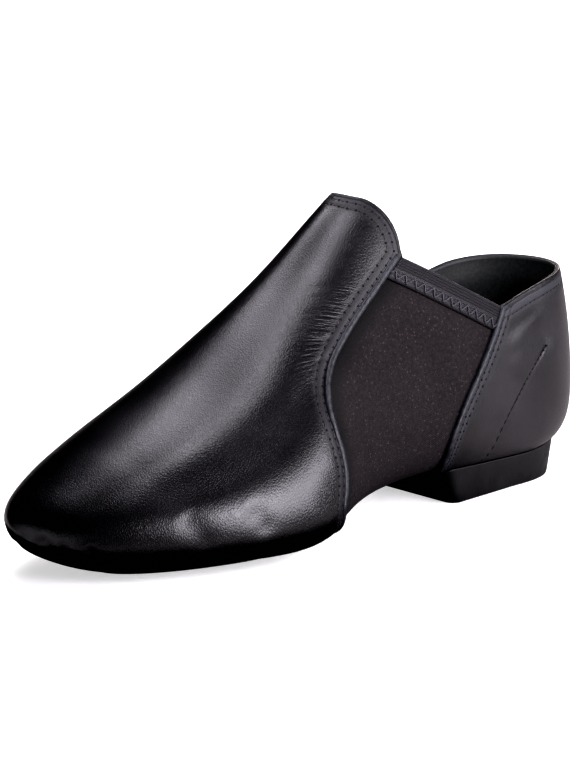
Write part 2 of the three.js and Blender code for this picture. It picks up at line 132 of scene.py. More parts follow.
def last_point(station, rise, side):
    """station: 0 toe, 1 middle of the heel, 2 its back. rise: -1 under the foot, 1 on the ridge."""
    station, rise = np.broadcast_arrays(np.asarray(station, float), np.asarray(rise, float))
    x = HEEL_TO_TOE * np.cos(np.minimum(station, 1) * math.pi / 2)
    sizes = section(x)
    power = np.where(rise < 0, sizes["base"], sizes["dome"])
    angle = np.abs(rise) * math.pi / 2
    out = np.maximum(np.cos(angle), 0) ** (2 / power)
    up = np.sin(angle) ** (2 / power)
    floor, girth, crown = sizes["floor"], sizes["girth"], sizes["crown"]
    z = np.where(rise < 0, girth - (girth - floor) * up, girth + (crown - girth) * up)
    turn = np.maximum(station - 1, 0) * math.pi / 2
    half = sizes["lateral"] if side > 0 else sizes["medial"]
    climb = (z - floor) / np.maximum(crown - floor, 1e-6)
    middle = sizes["centre"] + (sizes["ridge"] - sizes["centre"]) * climb**2 * (3 - 2 * climb)
    return np.stack([x - HEEL_TO_BACK * out * np.sin(turn), middle + side * half * out * np.cos(turn), z], -1)


def unit(v):
    return v / np.maximum(np.linalg.norm(v, axis=-1, keepdims=True), 1e-12)


def last_normal(station, rise, side, step=1e-3, pole=0.9995):
    """The outward direction there. Past the pole it is that of the middle line."""
    station, rise = np.broadcast_arrays(np.asarray(station, float), np.asarray(rise, float))
    station = np.where(np.abs(rise) > pole, np.minimum(station, 1), station)
    s = np.clip(station, 2 * step, 2 - 2 * step)
    r = np.clip(rise, -1 + 2 * step, 1 - 2 * step)
    along = last_point(s + step, r, side) - last_point(s - step, r, side)
    round_ = last_point(s, r + step, side) - last_point(s, r - step, side)
    normal = unit(np.cross(along, round_) * side)
    normal[..., 1] = np.where((np.abs(rise) > pole) | (station > 1 + pole), 0, normal[..., 1])
    normal = np.where((station < 1e-6)[..., None], np.array([1.0, 0, 0]), normal)
    return unit(normal)


def on_last(station, rise, side, offset=0.0):
    offset = np.asarray(offset, float)
    return last_point(station, rise, side) + last_normal(station, rise, side) * offset[..., None]


def place_on_last(x, z):
    """The station and rise of a point that is given as it is seen from the side."""
    sizes = section(x)
    high = np.clip((z - sizes["girth"]) / (sizes["crown"] - sizes["girth"]), 0, 1)
    low = np.clip((sizes["girth"] - z) / (sizes["girth"] - sizes["floor"]), 0, 1)
    above = z >= sizes["girth"]
    power = np.where(above, sizes["dome"], sizes["base"])
    angle = np.arcsin(np.where(above, high, low) ** (power / 2))
    rise = np.where(above, 1, -1) * angle * 2 / math.pi
    out = np.maximum(np.cos(angle) ** (2 / power), 1e-9)
    front = np.arccos(np.clip(x / HEEL_TO_TOE, 0, 1)) * 2 / math.pi
    fan = 1 + np.arcsin(np.clip(-x / (HEEL_TO_BACK * out), 0, 1)) * 2 / math.pi
    return np.where(x >= 0, front, fan), rise


# %% [markdown]
# ## The edges of the panels
# The vamp's flap and its side edge, the quarter's front edge and the collar are lines that the
# pattern cutter draws from the side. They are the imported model's tables again, made smooth, and
# then laid on the last, which gives each point of an edge its station and rise.

# %% The lines as seen from the side
TAPE_FRONT, TAPE_REAR = (63.6, 96.8), (20.2, 73.8)
COLLAR_BACK_HEIGHT, FLAP_TOP_X = 82, 73.2
VAMP_EDGE = [
    (0.355, 0.731), (0.403, 0.664), (0.448, 0.6), (0.484, 0.545), (0.507, 0.492), (0.519, 0.439), (0.522, 0.38),
    (0.521, 0.32), (0.522, 0.26), (0.529, 0.205), (0.537, 0.155), (0.533, 0.1), (0.51, 0.045), (0.47, -0.01),
]
FLAP_RIM = [(1.03, 0.1), (1.06, 0.38), (0.9, 0.67), (0.51, 0.91), (0, 1), (-0.83, 1.17), (-2.3, 1.42)]
QUARTER_EDGE = [
    (0.118, 0.88), (0.148, 0.75), (0.176, 0.635), (0.202, 0.525), (0.222, 0.42),
    (0.233, 0.325), (0.233, 0.24), (0.22, 0.17), (0.19, 0.1), (0.15, -0.05),
]
QUARTER_TOP = [(0.08, 0.12), (0.2, 0.36), (0.34, 0.59), (0.5, 0.8), (0.75, 0.97), (1, 1), (1.5, 1.02)]


def smooth_line(rows, steps=16):
    """A Catmull-Rom line through the rows."""
    p = np.array([rows[0], *rows, rows[-1]], float)
    t = np.linspace(0, 1, steps, endpoint=False)[:, None]
    runs = []
    for i in range(len(rows) - 1):
        v0, v1 = (p[i + 2] - p[i]) / 2, (p[i + 3] - p[i + 1]) / 2
        a, b = p[i + 1], p[i + 2]
        runs.append((2 * a - 2 * b + v0 + v1) * t**3 + (3 * b - 3 * a - 2 * v0 - v1) * t**2 + v0 * t + a)
    return np.vstack([*runs, p[-1:]])


def line_on_last(line, low_end, high_end):
    """The stretch of a side line that lies on the last, as stations and rises, with its ends put in place."""
    t = np.linspace(0, len(line) - 1, 6000)
    x, z = np.interp(t, np.arange(len(line)), line[:, 0]), np.interp(t, np.arange(len(line)), line[:, 1])
    sizes = section(x)
    keep = (z >= sizes["floor"]) & (z <= sizes["crown"]) & (x >= -HEEL_TO_BACK)
    x, z = x[keep], z[keep]
    station, rise = place_on_last(x, z)
    if low_end is not None:
        rise[0] = low_end
    if high_end is not None:
        rise[-1] = high_end
    return station, rise


def evenly(station, rise, side, count):
    """Points at even distances along lines on the last. Each row of the arrays is one line."""
    station, rise = np.atleast_2d(station), np.atleast_2d(rise)
    points = last_point(station, rise, side)
    steps = np.linalg.norm(np.diff(points, axis=1), axis=2)
    run = np.concatenate([np.zeros((len(steps), 1)), np.cumsum(steps, axis=1)], axis=1)
    want = np.linspace(0, 1, count)
    pick = lambda values: np.array([np.interp(want * r[-1], r, v) for r, v in zip(run, values)])
    return pick(station), pick(rise)


flap_lead, flap_rise = FLAP_TOP_X - TAPE_FRONT[0], INSTEP_HEIGHT - TAPE_FRONT[1]
rim_rows = [(FLAP_TOP_X - b * flap_lead, TAPE_FRONT[1] + h * flap_rise) for b, h in FLAP_RIM]
rim_line = smooth_line([TAPE_FRONT] + rim_rows)
vamp_line = smooth_line([(r * HEEL_TO_TOE, h * INSTEP_HEIGHT) for r, h in VAMP_EDGE[::-1]] + [TAPE_FRONT])
quarter_line = smooth_line([(r * HEEL_TO_TOE, h * TAPE_REAR[1]) for r, h in QUARTER_EDGE[::-1]] + [TAPE_REAR])
quarter_top_line = smooth_line(
    [TAPE_REAR]
    + [
        (TAPE_REAR[0] - r * (TAPE_REAR[0] + HEEL_TO_BACK), TAPE_REAR[1] + h * (COLLAR_BACK_HEIGHT - TAPE_REAR[1]))
        for r, h in QUARTER_TOP
    ]
)
tape_line = smooth_line([TAPE_FRONT, TAPE_REAR], 60)
vamp_edge = line_on_last(np.vstack([vamp_line, rim_line[1:]]), -1, 1)
quarter_edge = line_on_last(quarter_line, -1, None)
quarter_top = line_on_last(quarter_top_line, None, None)
collar = line_on_last(np.vstack([rim_line[::-1], tape_line[1:], quarter_top_line[1:]]), 1, None)
quarter_top[0][-1] = collar[0][-1] = 2.0
print("vamp edge from station", vamp_edge[0][0].round(3), "to", vamp_edge[0][-1].round(3))
collar_ends = [last_point(collar[0][i], collar[1][i], 1).round(1) for i in (0, -1)]
print("collar from", collar_ends[0], "to", collar_ends[1])

# %% [markdown]
# ## Mesh helpers
# Each layer is made of grids of points on the last. A grid, its copy further in and the strips
# that join their edges are welded into one closed skin, so that leather has a thickness and its
# normals point outwards everywhere. Sizes are in millimetres until a mesh is made in metres.

# %% From grids of points to a closed mesh
MM = 0.001
BATCH = 4000  # points that near_line measures at a time
scene = bpy.context.scene


def in_scene(name, data):
    """A new object in the scene."""
    made = bpy.data.objects.new(name, data)
    scene.collection.objects.link(made)
    return made


def triangle_count(mesh):
    return sum(len(p.vertices) - 2 for p in mesh.polygons)


def grid_faces(rows, columns, start):
    i, k = np.meshgrid(np.arange(rows - 1), np.arange(columns - 1), indexing="ij")
    a = (start + i * columns + k).ravel()
    return np.stack([a, a + columns, a + columns + 1, a + 1], 1)


def make_mesh(name, grids, weld=0.004, values=None):
    """One object out of grids of points, welded where they touch. values: {name: one list for each grid}."""
    points, faces, start = [], [], 0
    for grid in grids:
        grid = np.asarray(grid, float)
        faces.append(grid_faces(grid.shape[0], grid.shape[1], start))
        points.append(grid.reshape(-1, 3))
        start += grid.shape[0] * grid.shape[1]
    points, faces = np.vstack(points), np.vstack(faces)
    mesh = bpy.data.meshes.new(name)
    mesh.from_pydata((points * MM).tolist(), [], faces.tolist())
    for key, lists in (values or {}).items():
        flat = np.concatenate([np.asarray(v, float).ravel() for v in lists])
        mesh.attributes.new(key, "FLOAT", "POINT").data.foreach_set("value", flat.astype(np.float32))
    shape = bmesh.new()
    shape.from_mesh(mesh)
    bmesh.ops.remove_doubles(shape, verts=shape.verts, dist=weld * MM)
    bmesh.ops.recalc_face_normals(shape, faces=shape.faces)
    shape.to_mesh(mesh)
    open_edges = sum(1 for e in shape.edges if len(e.link_faces) != 2)
    shape.free()
    mesh.shade_smooth()
    print(f"{name}: {triangle_count(mesh)} triangles, {open_edges} open edges")
    return in_scene(name, mesh)


def doubled(values):
    """One row or column of values as the two sides of a thin strip."""
    return np.stack([values, values])


def ring(grid):
    """The grid with its first column repeated at its end, so that it closes round."""
    return np.concatenate([grid, grid[:, :1]], axis=1)


def near_line(points, line):
    """Distance from each point to a line of points, and the run along it, in the points' shape."""
    flat = np.asarray(points).reshape(-1, 3)
    run = np.concatenate([[0], np.cumsum(np.linalg.norm(np.diff(line, axis=0), axis=1))])
    start, step = line[:-1], np.diff(line, axis=0)
    length2 = np.maximum((step**2).sum(1), 1e-12)
    far, where = np.zeros(len(flat)), np.zeros(len(flat))
    for first in range(0, len(flat), BATCH):
        p = flat[first : first + BATCH]
        t = np.clip(((p[:, None] - start) * step).sum(2) / length2, 0, 1)
        gap = np.linalg.norm(p[:, None] - start - t[..., None] * step, axis=2)
        k = gap.argmin(1)
        rows = np.arange(len(p))
        far[first : first + BATCH] = gap[rows, k]
        where[first : first + BATCH] = run[k] + t[rows, k] * np.sqrt(length2[k])
    shape = np.asarray(points).shape[:-1]
    return far.reshape(shape), where.reshape(shape)


def soft_step(x, low, high):
    t = np.clip((x - low) / (high - low), 0, 1)
    return t * t * (3 - 2 * t)


def hill(x, width):
    """1 at 0, falling smoothly to 0 at the width."""
    return 1 - soft_step(np.abs(x), 0, width)


# %% [markdown]
# ## The vamp
# The vamp is one piece of soft leather, wetted and pulled over the last, so it has no seam, only
# the flow of the pull: a trough beside the instep's crest, dents over the toes, gathers where it
# is tucked under the toe and fine wrinkles that run off the stitched edge. It is a grid from the
# toe's tip to the edge, with those forms pressed into it, each at its place on the shoe.

# %% The vamp's creases, in millimetres of the shoe
LEATHER, GAP = 1.2, 0.3


def crease(points, line, width, depth, side, fade=8.0):
    """A soft trough (depth below 0) or ridge along a line of (x, z) that is drawn from one side."""
    line = smooth_line(line, 10)
    path = last_point(*place_on_last(line[:, 0], line[:, 1]), side)
    far, run = near_line(points, path)
    length = np.linalg.norm(np.diff(path, axis=0), axis=1).sum()
    ends = np.minimum(soft_step(run, 0, fade), soft_step(length - run, 0, fade))
    return depth * np.exp(-((far / width) ** 2)) * ends


def creases(points, rows, side):
    """The sum of one side's creases."""
    here = [row[1:] for row in rows if row[0] == side]
    return sum(crease(points, line, width, depth, side, fade) for width, depth, fade, line in here)


# side, width, depth, fade, then the line from the side
VAMP_CREASES = [
    # the long trough between the crest and the lateral side
    (1, 9, -1.1, 30, [(96, 76), (114, 61), (132, 50), (149, 42), (169, 35), (185, 30), (199, 27)]),
    # two dents that break the bulge over the little toe, and a shallow one behind the ball
    (1, 4.2, -0.5, 6, [(158, 27), (154, 22), (151, 14)]),
    (1, 4.5, -0.42, 5, [(179, 26), (175, 20), (171, 12)]),
    # fine gathers that run off the stitched edge under the instep
    (1, 1.2, -0.07, 5, [(88, 90), (95, 89), (103, 88)]),
    (1, 1.1, -0.07, 5, [(90, 86.5), (97, 86), (105, 85.5)]),
    (1, 1.2, -0.07, 5, [(92, 83), (99, 82), (108, 80.5)]),
    (1, 0.8, -0.14, 4, [(96, 77), (101, 77), (107, 77)]),
    (1, 0.8, -0.14, 4, [(99, 73), (105, 73), (111, 73.5)]),
    (1, 1.1, -0.07, 4, [(100, 72), (107, 71), (113, 69.5)]),
    (1, 1.1, -0.07, 4, [(102, 68), (108, 67), (114, 66)]),
    # the bend behind the ball, low on the lateral side
    (1, 6, -0.35, 8, [(118, 33), (126, 25), (131, 17)]),
    # pleats where the leather is gathered under the toe
    (1, 2.0, -0.6, 4, [(215.5, 17.5), (214.6, 14.5), (212, 11), (207, 8.6)]),
    (1, 2.0, -0.6, 4, [(214.6, 19), (213.6, 15), (210, 11), (204, 8.5)]),
    (1, 2.0, -0.55, 4, [(211.6, 18), (210.6, 14), (207.5, 11), (203, 8.5)]),
    (1, 2.0, -0.5, 4, [(206.3, 17.5), (204, 13), (200.5, 9.5), (197, 7.5)]),
    (-1, 1.9, -0.5, 4, [(215, 15.5), (212, 12), (207, 9.5)]),
    (-1, 1.4, -0.35, 3, [(208, 14), (203, 11), (197, 9)]),
    # the hidden side is a little flatter
    (-1, 9, -0.8, 30, [(100, 70), (122, 54), (146, 40), (172, 30)]),
    (-1, 4.5, -0.6, 6, [(170, 30), (163, 22), (157, 14)]),
    (-1, 5, -0.6, 7, [(140, 36), (133, 27), (128, 18)]),
    (-1, 1.3, -0.07, 5, [(92, 84), (99, 83), (107, 81)]),
    (-1, 1.3, -0.07, 5, [(96, 78), (103, 77), (112, 75)]),
]


def vamp_relief(points, rise, edge_far, side):
    """How far the leather stands over the last."""
    relief = creases(points, VAMP_CREASES, side) * soft_step(1 - np.abs(rise), 0, 0.1)
    # a rolled edge presses the leather down beside it, and the stitched band stands up
    band = -0.1 * hill(edge_far - 2.7, 0.8) + 0.06 * hill(edge_far - 4.3, 1.5) - 0.06 * hill(edge_far - 5.7, 0.8)
    return relief + band * soft_step(rise, -0.98, -0.85)


WRINKLES_AT, WRINKLES_SPREAD, WRINKLES_TOP = 77, 12, 96  # heights over the floor


def wrinkle_mask(points, rise, edge_far):
    """Where the leather carries fine wrinkles that run off its stitched edge."""
    height = points[..., 2]
    near = soft_step(edge_far, 5.5, 8) * (1 - soft_step(edge_far, 9, 24))
    gathered = 0.15 + 0.85 * np.exp(-(((height - WRINKLES_AT) / WRINKLES_SPREAD) ** 2))
    return near * gathered * soft_step(WRINKLES_TOP - height, 0, 10) * soft_step(rise, -0.9, -0.5)


# %% The vamp as a closed skin
VAMP_COLUMNS, VAMP_ROWS, UNDER_STEP = 240, 176, 9  # the hidden face has one column in nine
EDGE_TUCK = 1.1  # how far under the rolled edge the leather ends


def side_columns(edge, columns, rows, side):
    """Columns from the toe to an edge, with rows at even distances from under the foot to the ridge."""
    share = np.linspace(0, 1, columns)[:, None]
    share = share * (1.3 - 0.3 * share)  # closer together near the edge
    fine = np.linspace(0, len(edge[0]) - 1, 500)
    s = np.interp(fine, np.arange(len(edge[0])), edge[0])
    r = np.interp(fine, np.arange(len(edge[0])), edge[1])
    return evenly(share * s, np.broadcast_to(r, (columns, len(r))), side, rows)


def edge_points(edge, side, count):
    s, r = evenly(*edge, side, count)
    return last_point(s[0], r[0], side)


def inset_edge(edge, distance):
    """The edge moved towards the toe by a distance, as a share of the station."""
    s, r = edge
    step = 1e-3
    pace = np.linalg.norm(last_point(s, r, 1) - last_point(s - step, r, 1), axis=1) / step
    return s - distance / pace, r


grids, vamp_rows = [], {}
values = {"edge_far": [], "edge_run": [], "wrinkle": []}
leather_edge = inset_edge(vamp_edge, EDGE_TUCK)
coarse = np.unique(np.append(np.arange(0, VAMP_COLUMNS, UNDER_STEP), VAMP_COLUMNS - 1))
for side in (1, -1):
    s, r = side_columns(leather_edge, VAMP_COLUMNS, VAMP_ROWS, side)
    base, normal = last_point(s, r, side), last_normal(s, r, side)
    far, run = near_line(base, edge_points(vamp_edge, side, 260))
    relief = vamp_relief(base, r, far, side)[..., None]
    skin, under = base + normal * relief, base + normal * (relief * 0.6 - LEATHER)
    grids += [skin, under[coarse], np.stack([skin[-1], under[-1]])]
    for key, value in (("edge_far", far), ("edge_run", run), ("wrinkle", wrinkle_mask(base, r, far))):
        values[key] += [value, value[coarse], doubled(value[-1])]
    vamp_rows[side] = far, skin, normal
vamp = make_mesh("vamp_leather", grids, values=values)

# %% [markdown]
# ## The quarter
# The quarter wraps the heel in one piece from the lateral gore round to the medial one. It is a
# grid between its front edges, its collar and the middle of the seat, where the heel block hides it.

# %% The quarter as a closed skin
QUARTER_COLUMNS, QUARTER_ROWS = 150, 150


def between_edges(front, top, columns, rows, side):
    """Columns from a front edge to the heel's back, under a top edge, with even rows."""
    fine = 300
    at = lambda line, n: [np.interp(np.linspace(0, len(line[0]) - 1, n), np.arange(len(line[0])), v) for v in line]
    fs, fr = at(front, fine)
    ts, tr = evenly(*top, side, columns)
    ts, tr = ts[0], tr[0]
    share = np.linspace(0, 1, columns)[:, None]
    up = np.linspace(0, 1, fine)[None, :]
    bottom = fs[0] + (2 - fs[0]) * share
    # the columns lean as the front edge does, less and less towards the back
    lean = (fs - (fs[0] + (fs[-1] - fs[0]) * up[0]))[None, :] * (1 - share) ** 1.5
    s = bottom + (ts[:, None] - bottom) * up + lean
    bend = (fr - (-1 + (fr[-1] + 1) * up[0]))[None, :] * (1 - share)
    r = -1 + (tr[:, None] + 1) * up + bend
    s[-1] = 2
    return evenly(np.clip(s, 0, 2), r, side, rows)


DART = [(-2, 56), (3, 51.5), (8.7, 45.7), (13.6, 39.8), (18.3, 34), (22.3, 28), (24.5, 22.5), (25.8, 17), (26, 12)]
# side, width, depth, fade, then the line from the side
QUARTER_CREASES = [
    (1, 0.6, -0.3, 3, DART),
    (1, 5, -0.9, 9, [(3, 68), (-2, 60), (-7, 52)]),
    (1, 6, 0.5, 9, [(16, 66), (13, 56), (15, 44)]),
    (1, 2.6, -0.2, 8, [(21, 62), (14, 65), (6, 68), (-2, 70)]),
    (1, 2.4, -0.12, 8, [(21, 54), (14, 57), (6, 61), (-1, 63)]),
    (1, 3.0, -0.12, 8, [(22, 44), (16, 47), (10, 51)]),
    (-1, 5, -0.5, 8, [(8, 64), (2, 55), (-3, 47)]),
    (-1, 2.6, -0.14, 8, [(20, 58), (12, 62), (4, 66)]),
]


def quarter_relief(points, rise, front_far, top_far, side):
    relief = creases(points, QUARTER_CREASES, side) * soft_step(1 + rise, 0, 0.1)
    relief += -0.3 * hill(front_far - 2.6, 0.8) + 0.15 * hill(front_far - 3.9, 1.2) - 0.15 * hill(front_far - 5.0, 0.8)
    return relief - 0.12 * hill(top_far - 4.6, 1.0)


grids, quarter_rows = [], {}
values = {"edge_far": [], "edge_run": []}
for side in (1, -1):
    front_line, top_line = (edge_points(edge, side, 200) for edge in (quarter_edge, quarter_top))
    s, r = between_edges(quarter_edge, quarter_top, QUARTER_COLUMNS, QUARTER_ROWS, side)
    base, normal = last_point(s, r, side), last_normal(s, r, side)
    far, run = near_line(base, np.vstack([front_line, top_line[1:]]))
    front_far, top_far = near_line(base, front_line)[0], near_line(base, top_line)[0]
    relief = quarter_relief(base, r, front_far, top_far, side) - 0.5 * (1 - soft_step(far, 0.6, 2.0))
    skin = base + normal * relief[..., None]
    under = base + normal * (relief - LEATHER)[..., None]
    grids += [skin, under, np.stack([skin[0], under[0]]), np.stack([skin[:, -1], under[:, -1]])]
    for key, value in (("edge_far", far), ("edge_run", run)):
        values[key] += [value, value, doubled(value[0]), doubled(value[:, -1])]
    quarter_rows[side] = front_far, top_far, skin, normal
quarter = make_mesh("quarter_leather", grids, values=values)

# %% [markdown]
# ## The bootee
# Inside the leather sits a stretch bootee. Its cloth shows in the two gores and under the waist,
# and a smooth lining is what the foot meets. Both could be one wall with two faces, but they are
# two cloths on the real shoe, so each is its own closed skin, open at the collar. The columns lean
# so that they end squarely on the flap's rim.

# %% The bootee's cloth and its lining
FLAP_COLUMNS, COLLAR_COLUMNS, BOOTEE_ROWS, LIP_ROWS = 36, 110, 72, 9
FLAP_START = 0.62  # the station under the foot where the flap's first column begins
CLOTH_OUT = -LEATHER - GAP
LINING_OUT, LINING_IN = CLOTH_OUT - 0.8, CLOTH_OUT - 1.5


def bootee_columns(side):
    """Rings from the toe to the flap's top, then columns up to the collar and round the heel."""
    up = np.linspace(0, 1, 240)[None, :]
    top = [values[0] for values in evenly(*collar, side, COLLAR_COLUMNS)]
    share = np.linspace(0, 1, COLLAR_COLUMNS)[:, None]
    bottom = FLAP_START + (2 - FLAP_START) * share**1.15
    first = FLAP_START + (top[0][0] - FLAP_START) * up**1.5
    toe = np.linspace(0, 1, FLAP_COLUMNS)[:, None] * first
    s = bottom + (top[0][:, None] - bottom) * up**1.5
    s[-1] = 2
    r = -1 + (top[1][:, None] + 1) * up
    toe_r = np.broadcast_to(-1 + 2 * up, toe.shape)
    return evenly(toe, toe_r, side, BOOTEE_ROWS), evenly(np.clip(s, 0, 2), r, side, BOOTEE_ROWS)


def bootee_layer(name, out, inside, lip_out, lip_inside):
    """A skin between two offsets, which change to those of the lip in the last rows under the collar."""
    grids, far = [], []
    near_lip = soft_step(np.arange(BOOTEE_ROWS), BOOTEE_ROWS - LIP_ROWS, BOOTEE_ROWS - 1)
    for side in (1, -1):
        toe, heel = bootee_columns(side)
        faces = []
        for offset, lip in ((out, lip_out), (inside, lip_inside)):
            faces.append([on_last(*toe, side, offset), on_last(*heel, side, offset + (lip - offset) * near_lip)])
            faces[-1][0][-1] = faces[-1][1][0]
        new = faces[0] + faces[1] + [np.stack([face[1][:, -1] for face in faces])]
        grids += new
        far += [near_line(grid, edge_points(vamp_edge, side, 200))[0] for grid in new]
    return make_mesh(name, grids, weld=0.02, values={"edge_far": far})


cloth = bootee_layer("gore_cloth", CLOTH_OUT, CLOTH_OUT - 0.7, -1.0, -1.3)
lining = bootee_layer("bootee_lining", LINING_OUT, LINING_IN, -1.4, -1.9)

# %% [markdown]
# ## The rolled edges
# Each panel's raw edge is bound with a narrow strip that is rolled over it. It could be a curve with
# a bevel, but a profile swept with the last's own normals stays flat to the shoe all the way round.
# The vamp's edge is one ring under the waist and over the flap, and the quarter's is another.

# %% A profile swept along a ring of edge points
BEAD_WAVE = 3.3  # the stitches pull the bead into a faint wave of this length
# across the edge and out from the last
ROLL_PROFILE = [
    (0.25, -1.15), (-0.05, -0.85), (-0.12, -0.45), (0.0, -0.05), (0.3, 0.28), (0.75, 0.47), (1.25, 0.5),
    (1.75, 0.42), (2.15, 0.2), (2.38, -0.1), (2.4, -0.5), (2.2, -0.9), (1.7, -1.15), (0.9, -1.2),
]


def smoothed(values, reach):
    """A closed ring of vectors, averaged with their neighbours."""
    kernel = np.hanning(2 * reach + 3)[1:-1]
    kernel /= kernel.sum()
    padded = np.concatenate([values[-reach:], values, values[:reach]])
    return np.stack([np.convolve(padded[:, i], kernel, "valid") for i in range(values.shape[1])], 1)


def edge_ring(edges, count):
    """The lateral edge up, then the medial edge back down: points, normals and rises of a closed ring."""
    sides = []
    for side in (1, -1):
        runs = [evenly(*edge, side, n) for edge, n in zip(edges, count)]
        s = np.concatenate([run[0][0][(i > 0) :] for i, run in enumerate(runs)])
        r = np.concatenate([run[1][0][(i > 0) :] for i, run in enumerate(runs)])
        sides.append((last_point(s, r, side), last_normal(s, r, side), r))
    return [np.concatenate([up, down[::-1][1:-1]]) for up, down in zip(*sides)]


def rolled_edge(name, edges, count, inward, flat_above, wave=0.03):
    """Above a height range the edge is only folded, so it lies flat and looks as the leather does."""
    points, normals, rises = edge_ring(edges, count)
    normals = unit(smoothed(normals, 2))
    tangent = unit(np.roll(points, -1, axis=0) - np.roll(points, 1, axis=0))
    across = unit(smoothed(inward * np.cross(normals, tangent), 3))
    run = np.concatenate([[0], np.cumsum(np.linalg.norm(np.diff(points, axis=0), axis=1))])
    proud = 1 - 0.9 * (1 - soft_step(rises, -0.93, -0.7))
    proud = proud + wave * np.sin(run * 2 * math.pi / BEAD_WAVE) + wave * np.sin(run * 0.9 + 1)
    folded = soft_step(points[:, 2], *flat_above)
    proud = proud * (1 - 0.75 * folded)
    rows = []
    for b, n in ROLL_PROFILE + ROLL_PROFILE[:1]:
        height = np.where(n > -0.2, (n + 0.2) * proud - 0.2, n * (1 - 0.25 * folded))
        rows.append(points + across * b + normals * height[:, None])
    grid = np.stack(rows, 1)
    grid = np.concatenate([grid, grid[:1]])
    run = np.append(run, run[-1] + np.linalg.norm(points[0] - points[-1]))
    folded = np.append(folded, folded[0])
    all_round = lambda values: [np.broadcast_to(values[:, None], grid.shape[:2])]
    return make_mesh(name, [grid], values={"edge_run": all_round(run), "folded": all_round(folded)})


vamp_roll = rolled_edge("vamp_rolled_edge", [vamp_edge], [330], 1, (94, 98))
quarter_roll = rolled_edge("quarter_rolled_edge", [quarter_edge, quarter_top], [180, 130], -1, (73.5, 75))

# %% [markdown]
# ## The elastic tapes
# A ribbed elastic tape runs along the top of each gore and keeps the collar snug. Its ribs are the
# covered rubber cords of the weave, so they are real ridges in a grid that lies between the vamp's
# edge and the quarter's, and a zigzag thread holds its lower half down.

# %% Two ribbed tapes
TAPE_WIDTH, TAPE_THICKNESS, TAPE_SINK = 9.5, 0.9, 0.3
TAPE_STEPS, TAPE_ACROSS = 70, 76


def tape_line_at(depth, count):
    """The line that lies at a depth below the collar, between the two panels, seen from the side."""
    front, rear = np.array(TAPE_FRONT), np.array(TAPE_REAR)
    along = (front - rear) / np.linalg.norm(front - rear)
    down = np.array([along[1], -along[0]])
    t = np.linspace(-12, np.linalg.norm(front - rear) + 12, 900)[:, None]
    p = rear + along * t + down * depth
    left = np.interp(p[:, 1], quarter_line[:, 1], quarter_line[:, 0])
    right = np.interp(p[:, 1], vamp_line[:, 1], vamp_line[:, 0])
    p = p[(p[:, 0] > left) & (p[:, 0] < right)]
    t = np.linspace(0, len(p) - 1, count)
    return np.stack([np.interp(t, np.arange(len(p)), p[:, i]) for i in (0, 1)], 1)


def tape_relief(depth):
    """Five ribs above, then a flat foot with faint ribs, and rounded edges."""
    ribs = 0.17 * np.cos(depth * 2 * math.pi / 1.02) * (1 - soft_step(depth, 4.6, 5.2))
    faint = 0.06 * np.cos(depth * 2 * math.pi / 0.8) * soft_step(depth, 5.0, 5.6)
    step = -0.12 * soft_step(depth, 4.7, 5.3)
    edges = -0.55 * (1 - soft_step(np.minimum(depth + 0.05, TAPE_WIDTH + 0.05 - depth), 0, 0.5))
    return ribs + faint + step + edges


def make_tape(name, side):
    depths = np.linspace(0, TAPE_WIDTH, TAPE_ACROSS)
    lines = np.stack([tape_line_at(d, TAPE_STEPS) for d in depths])
    s, r = place_on_last(lines[..., 0], lines[..., 1])
    base, normal = last_point(s, r, side), last_normal(s, r, side)
    top = base + normal * (tape_relief(depths) - TAPE_SINK)[:, None, None]
    under = base + normal * (-TAPE_SINK - TAPE_THICKNESS)
    grids = [top, under] + [np.stack([top[i], under[i]]) for i in (0, -1)]
    grids += [np.stack([top[:, i], under[:, i]]) for i in (0, -1)]
    depth = np.broadcast_to(depths[:, None], top.shape[:2])
    values = [depth, depth] + [doubled(depth[i]) for i in (0, -1)] + [doubled(depth[:, i]) for i in (0, -1)]
    return make_mesh(name, grids, values={"tape_depth": values})


tape_lateral, tape_medial = make_tape("elastic_tape_lateral", 1), make_tape("elastic_tape_medial", -1)

# %% [markdown]
# ## The insole sock
# A thin cloth-covered sock lies in the shoe. It follows the inside of the last and turns up a little
# at its rim, so it is the lowest part of the last, drawn inwards.

# %% The sock as a closed skin
SOCK_UNDER, SOCK_TOP, SOCK_RIM = -3.3, -5.1, 8.3


def make_sock():
    grids = []
    stations = np.concatenate([np.linspace(0.06, 1, 70), np.linspace(1, 2, 30)[1:]])[:, None]
    x = HEEL_TO_TOE * np.cos(np.minimum(stations, 1) * math.pi / 2)
    sizes = section(x)
    _, top_rise = place_on_last(x, np.minimum(sizes["floor"] + SOCK_RIM, sizes["girth"] - 0.5))
    for side in (1, -1):
        share = np.linspace(0, 1, 200)[None, :]
        s, r = evenly(np.broadcast_to(stations, (len(stations), 200)), -1 + (top_rise + 1) * share, side, 34)
        low, high = on_last(s, r, side, SOCK_UNDER), on_last(s, r, side, SOCK_TOP)
        grids += [low, high, np.stack([low[:, -1], high[:, -1]]), np.stack([low[0], high[0]])]
    return make_mesh("insole_sock", grids, weld=0.05)


sock = make_sock()

# %% [markdown]
# ## The split sole
# Only the ball of the foot and the heel have a sole, so that the foot can point. The pad is a thin
# piece of suede, cut to an oval and glued on. The heel is a low block, hollowed on top to the seat.
# Both are rings of points that shrink to their middle, which keeps their edges round and clean.

# %% The underside of the last in plan, the pad and the heel block
PAD_LENGTH, PAD_SETBACK, PAD_SHARE, PAD_POWER, PAD_THICKNESS = 84, 28, 0.48, 2.2, 1.6
BLOCK_FRONT, BLOCK_BACK, BLOCK_FRONT_WIDTH, BLOCK_MIDDLE_WIDTH = 38, 27.8, 43, 38
BLOCK_CORNER, BLOCK_BACK_POWER, BREAST_LEAN, SIDE_FLARE, BACK_FLARE = 4, 2.5, 8, 3.4, 0.9
BLOCK_TOP, BLOCK_BEVEL = 17.5, 0.7


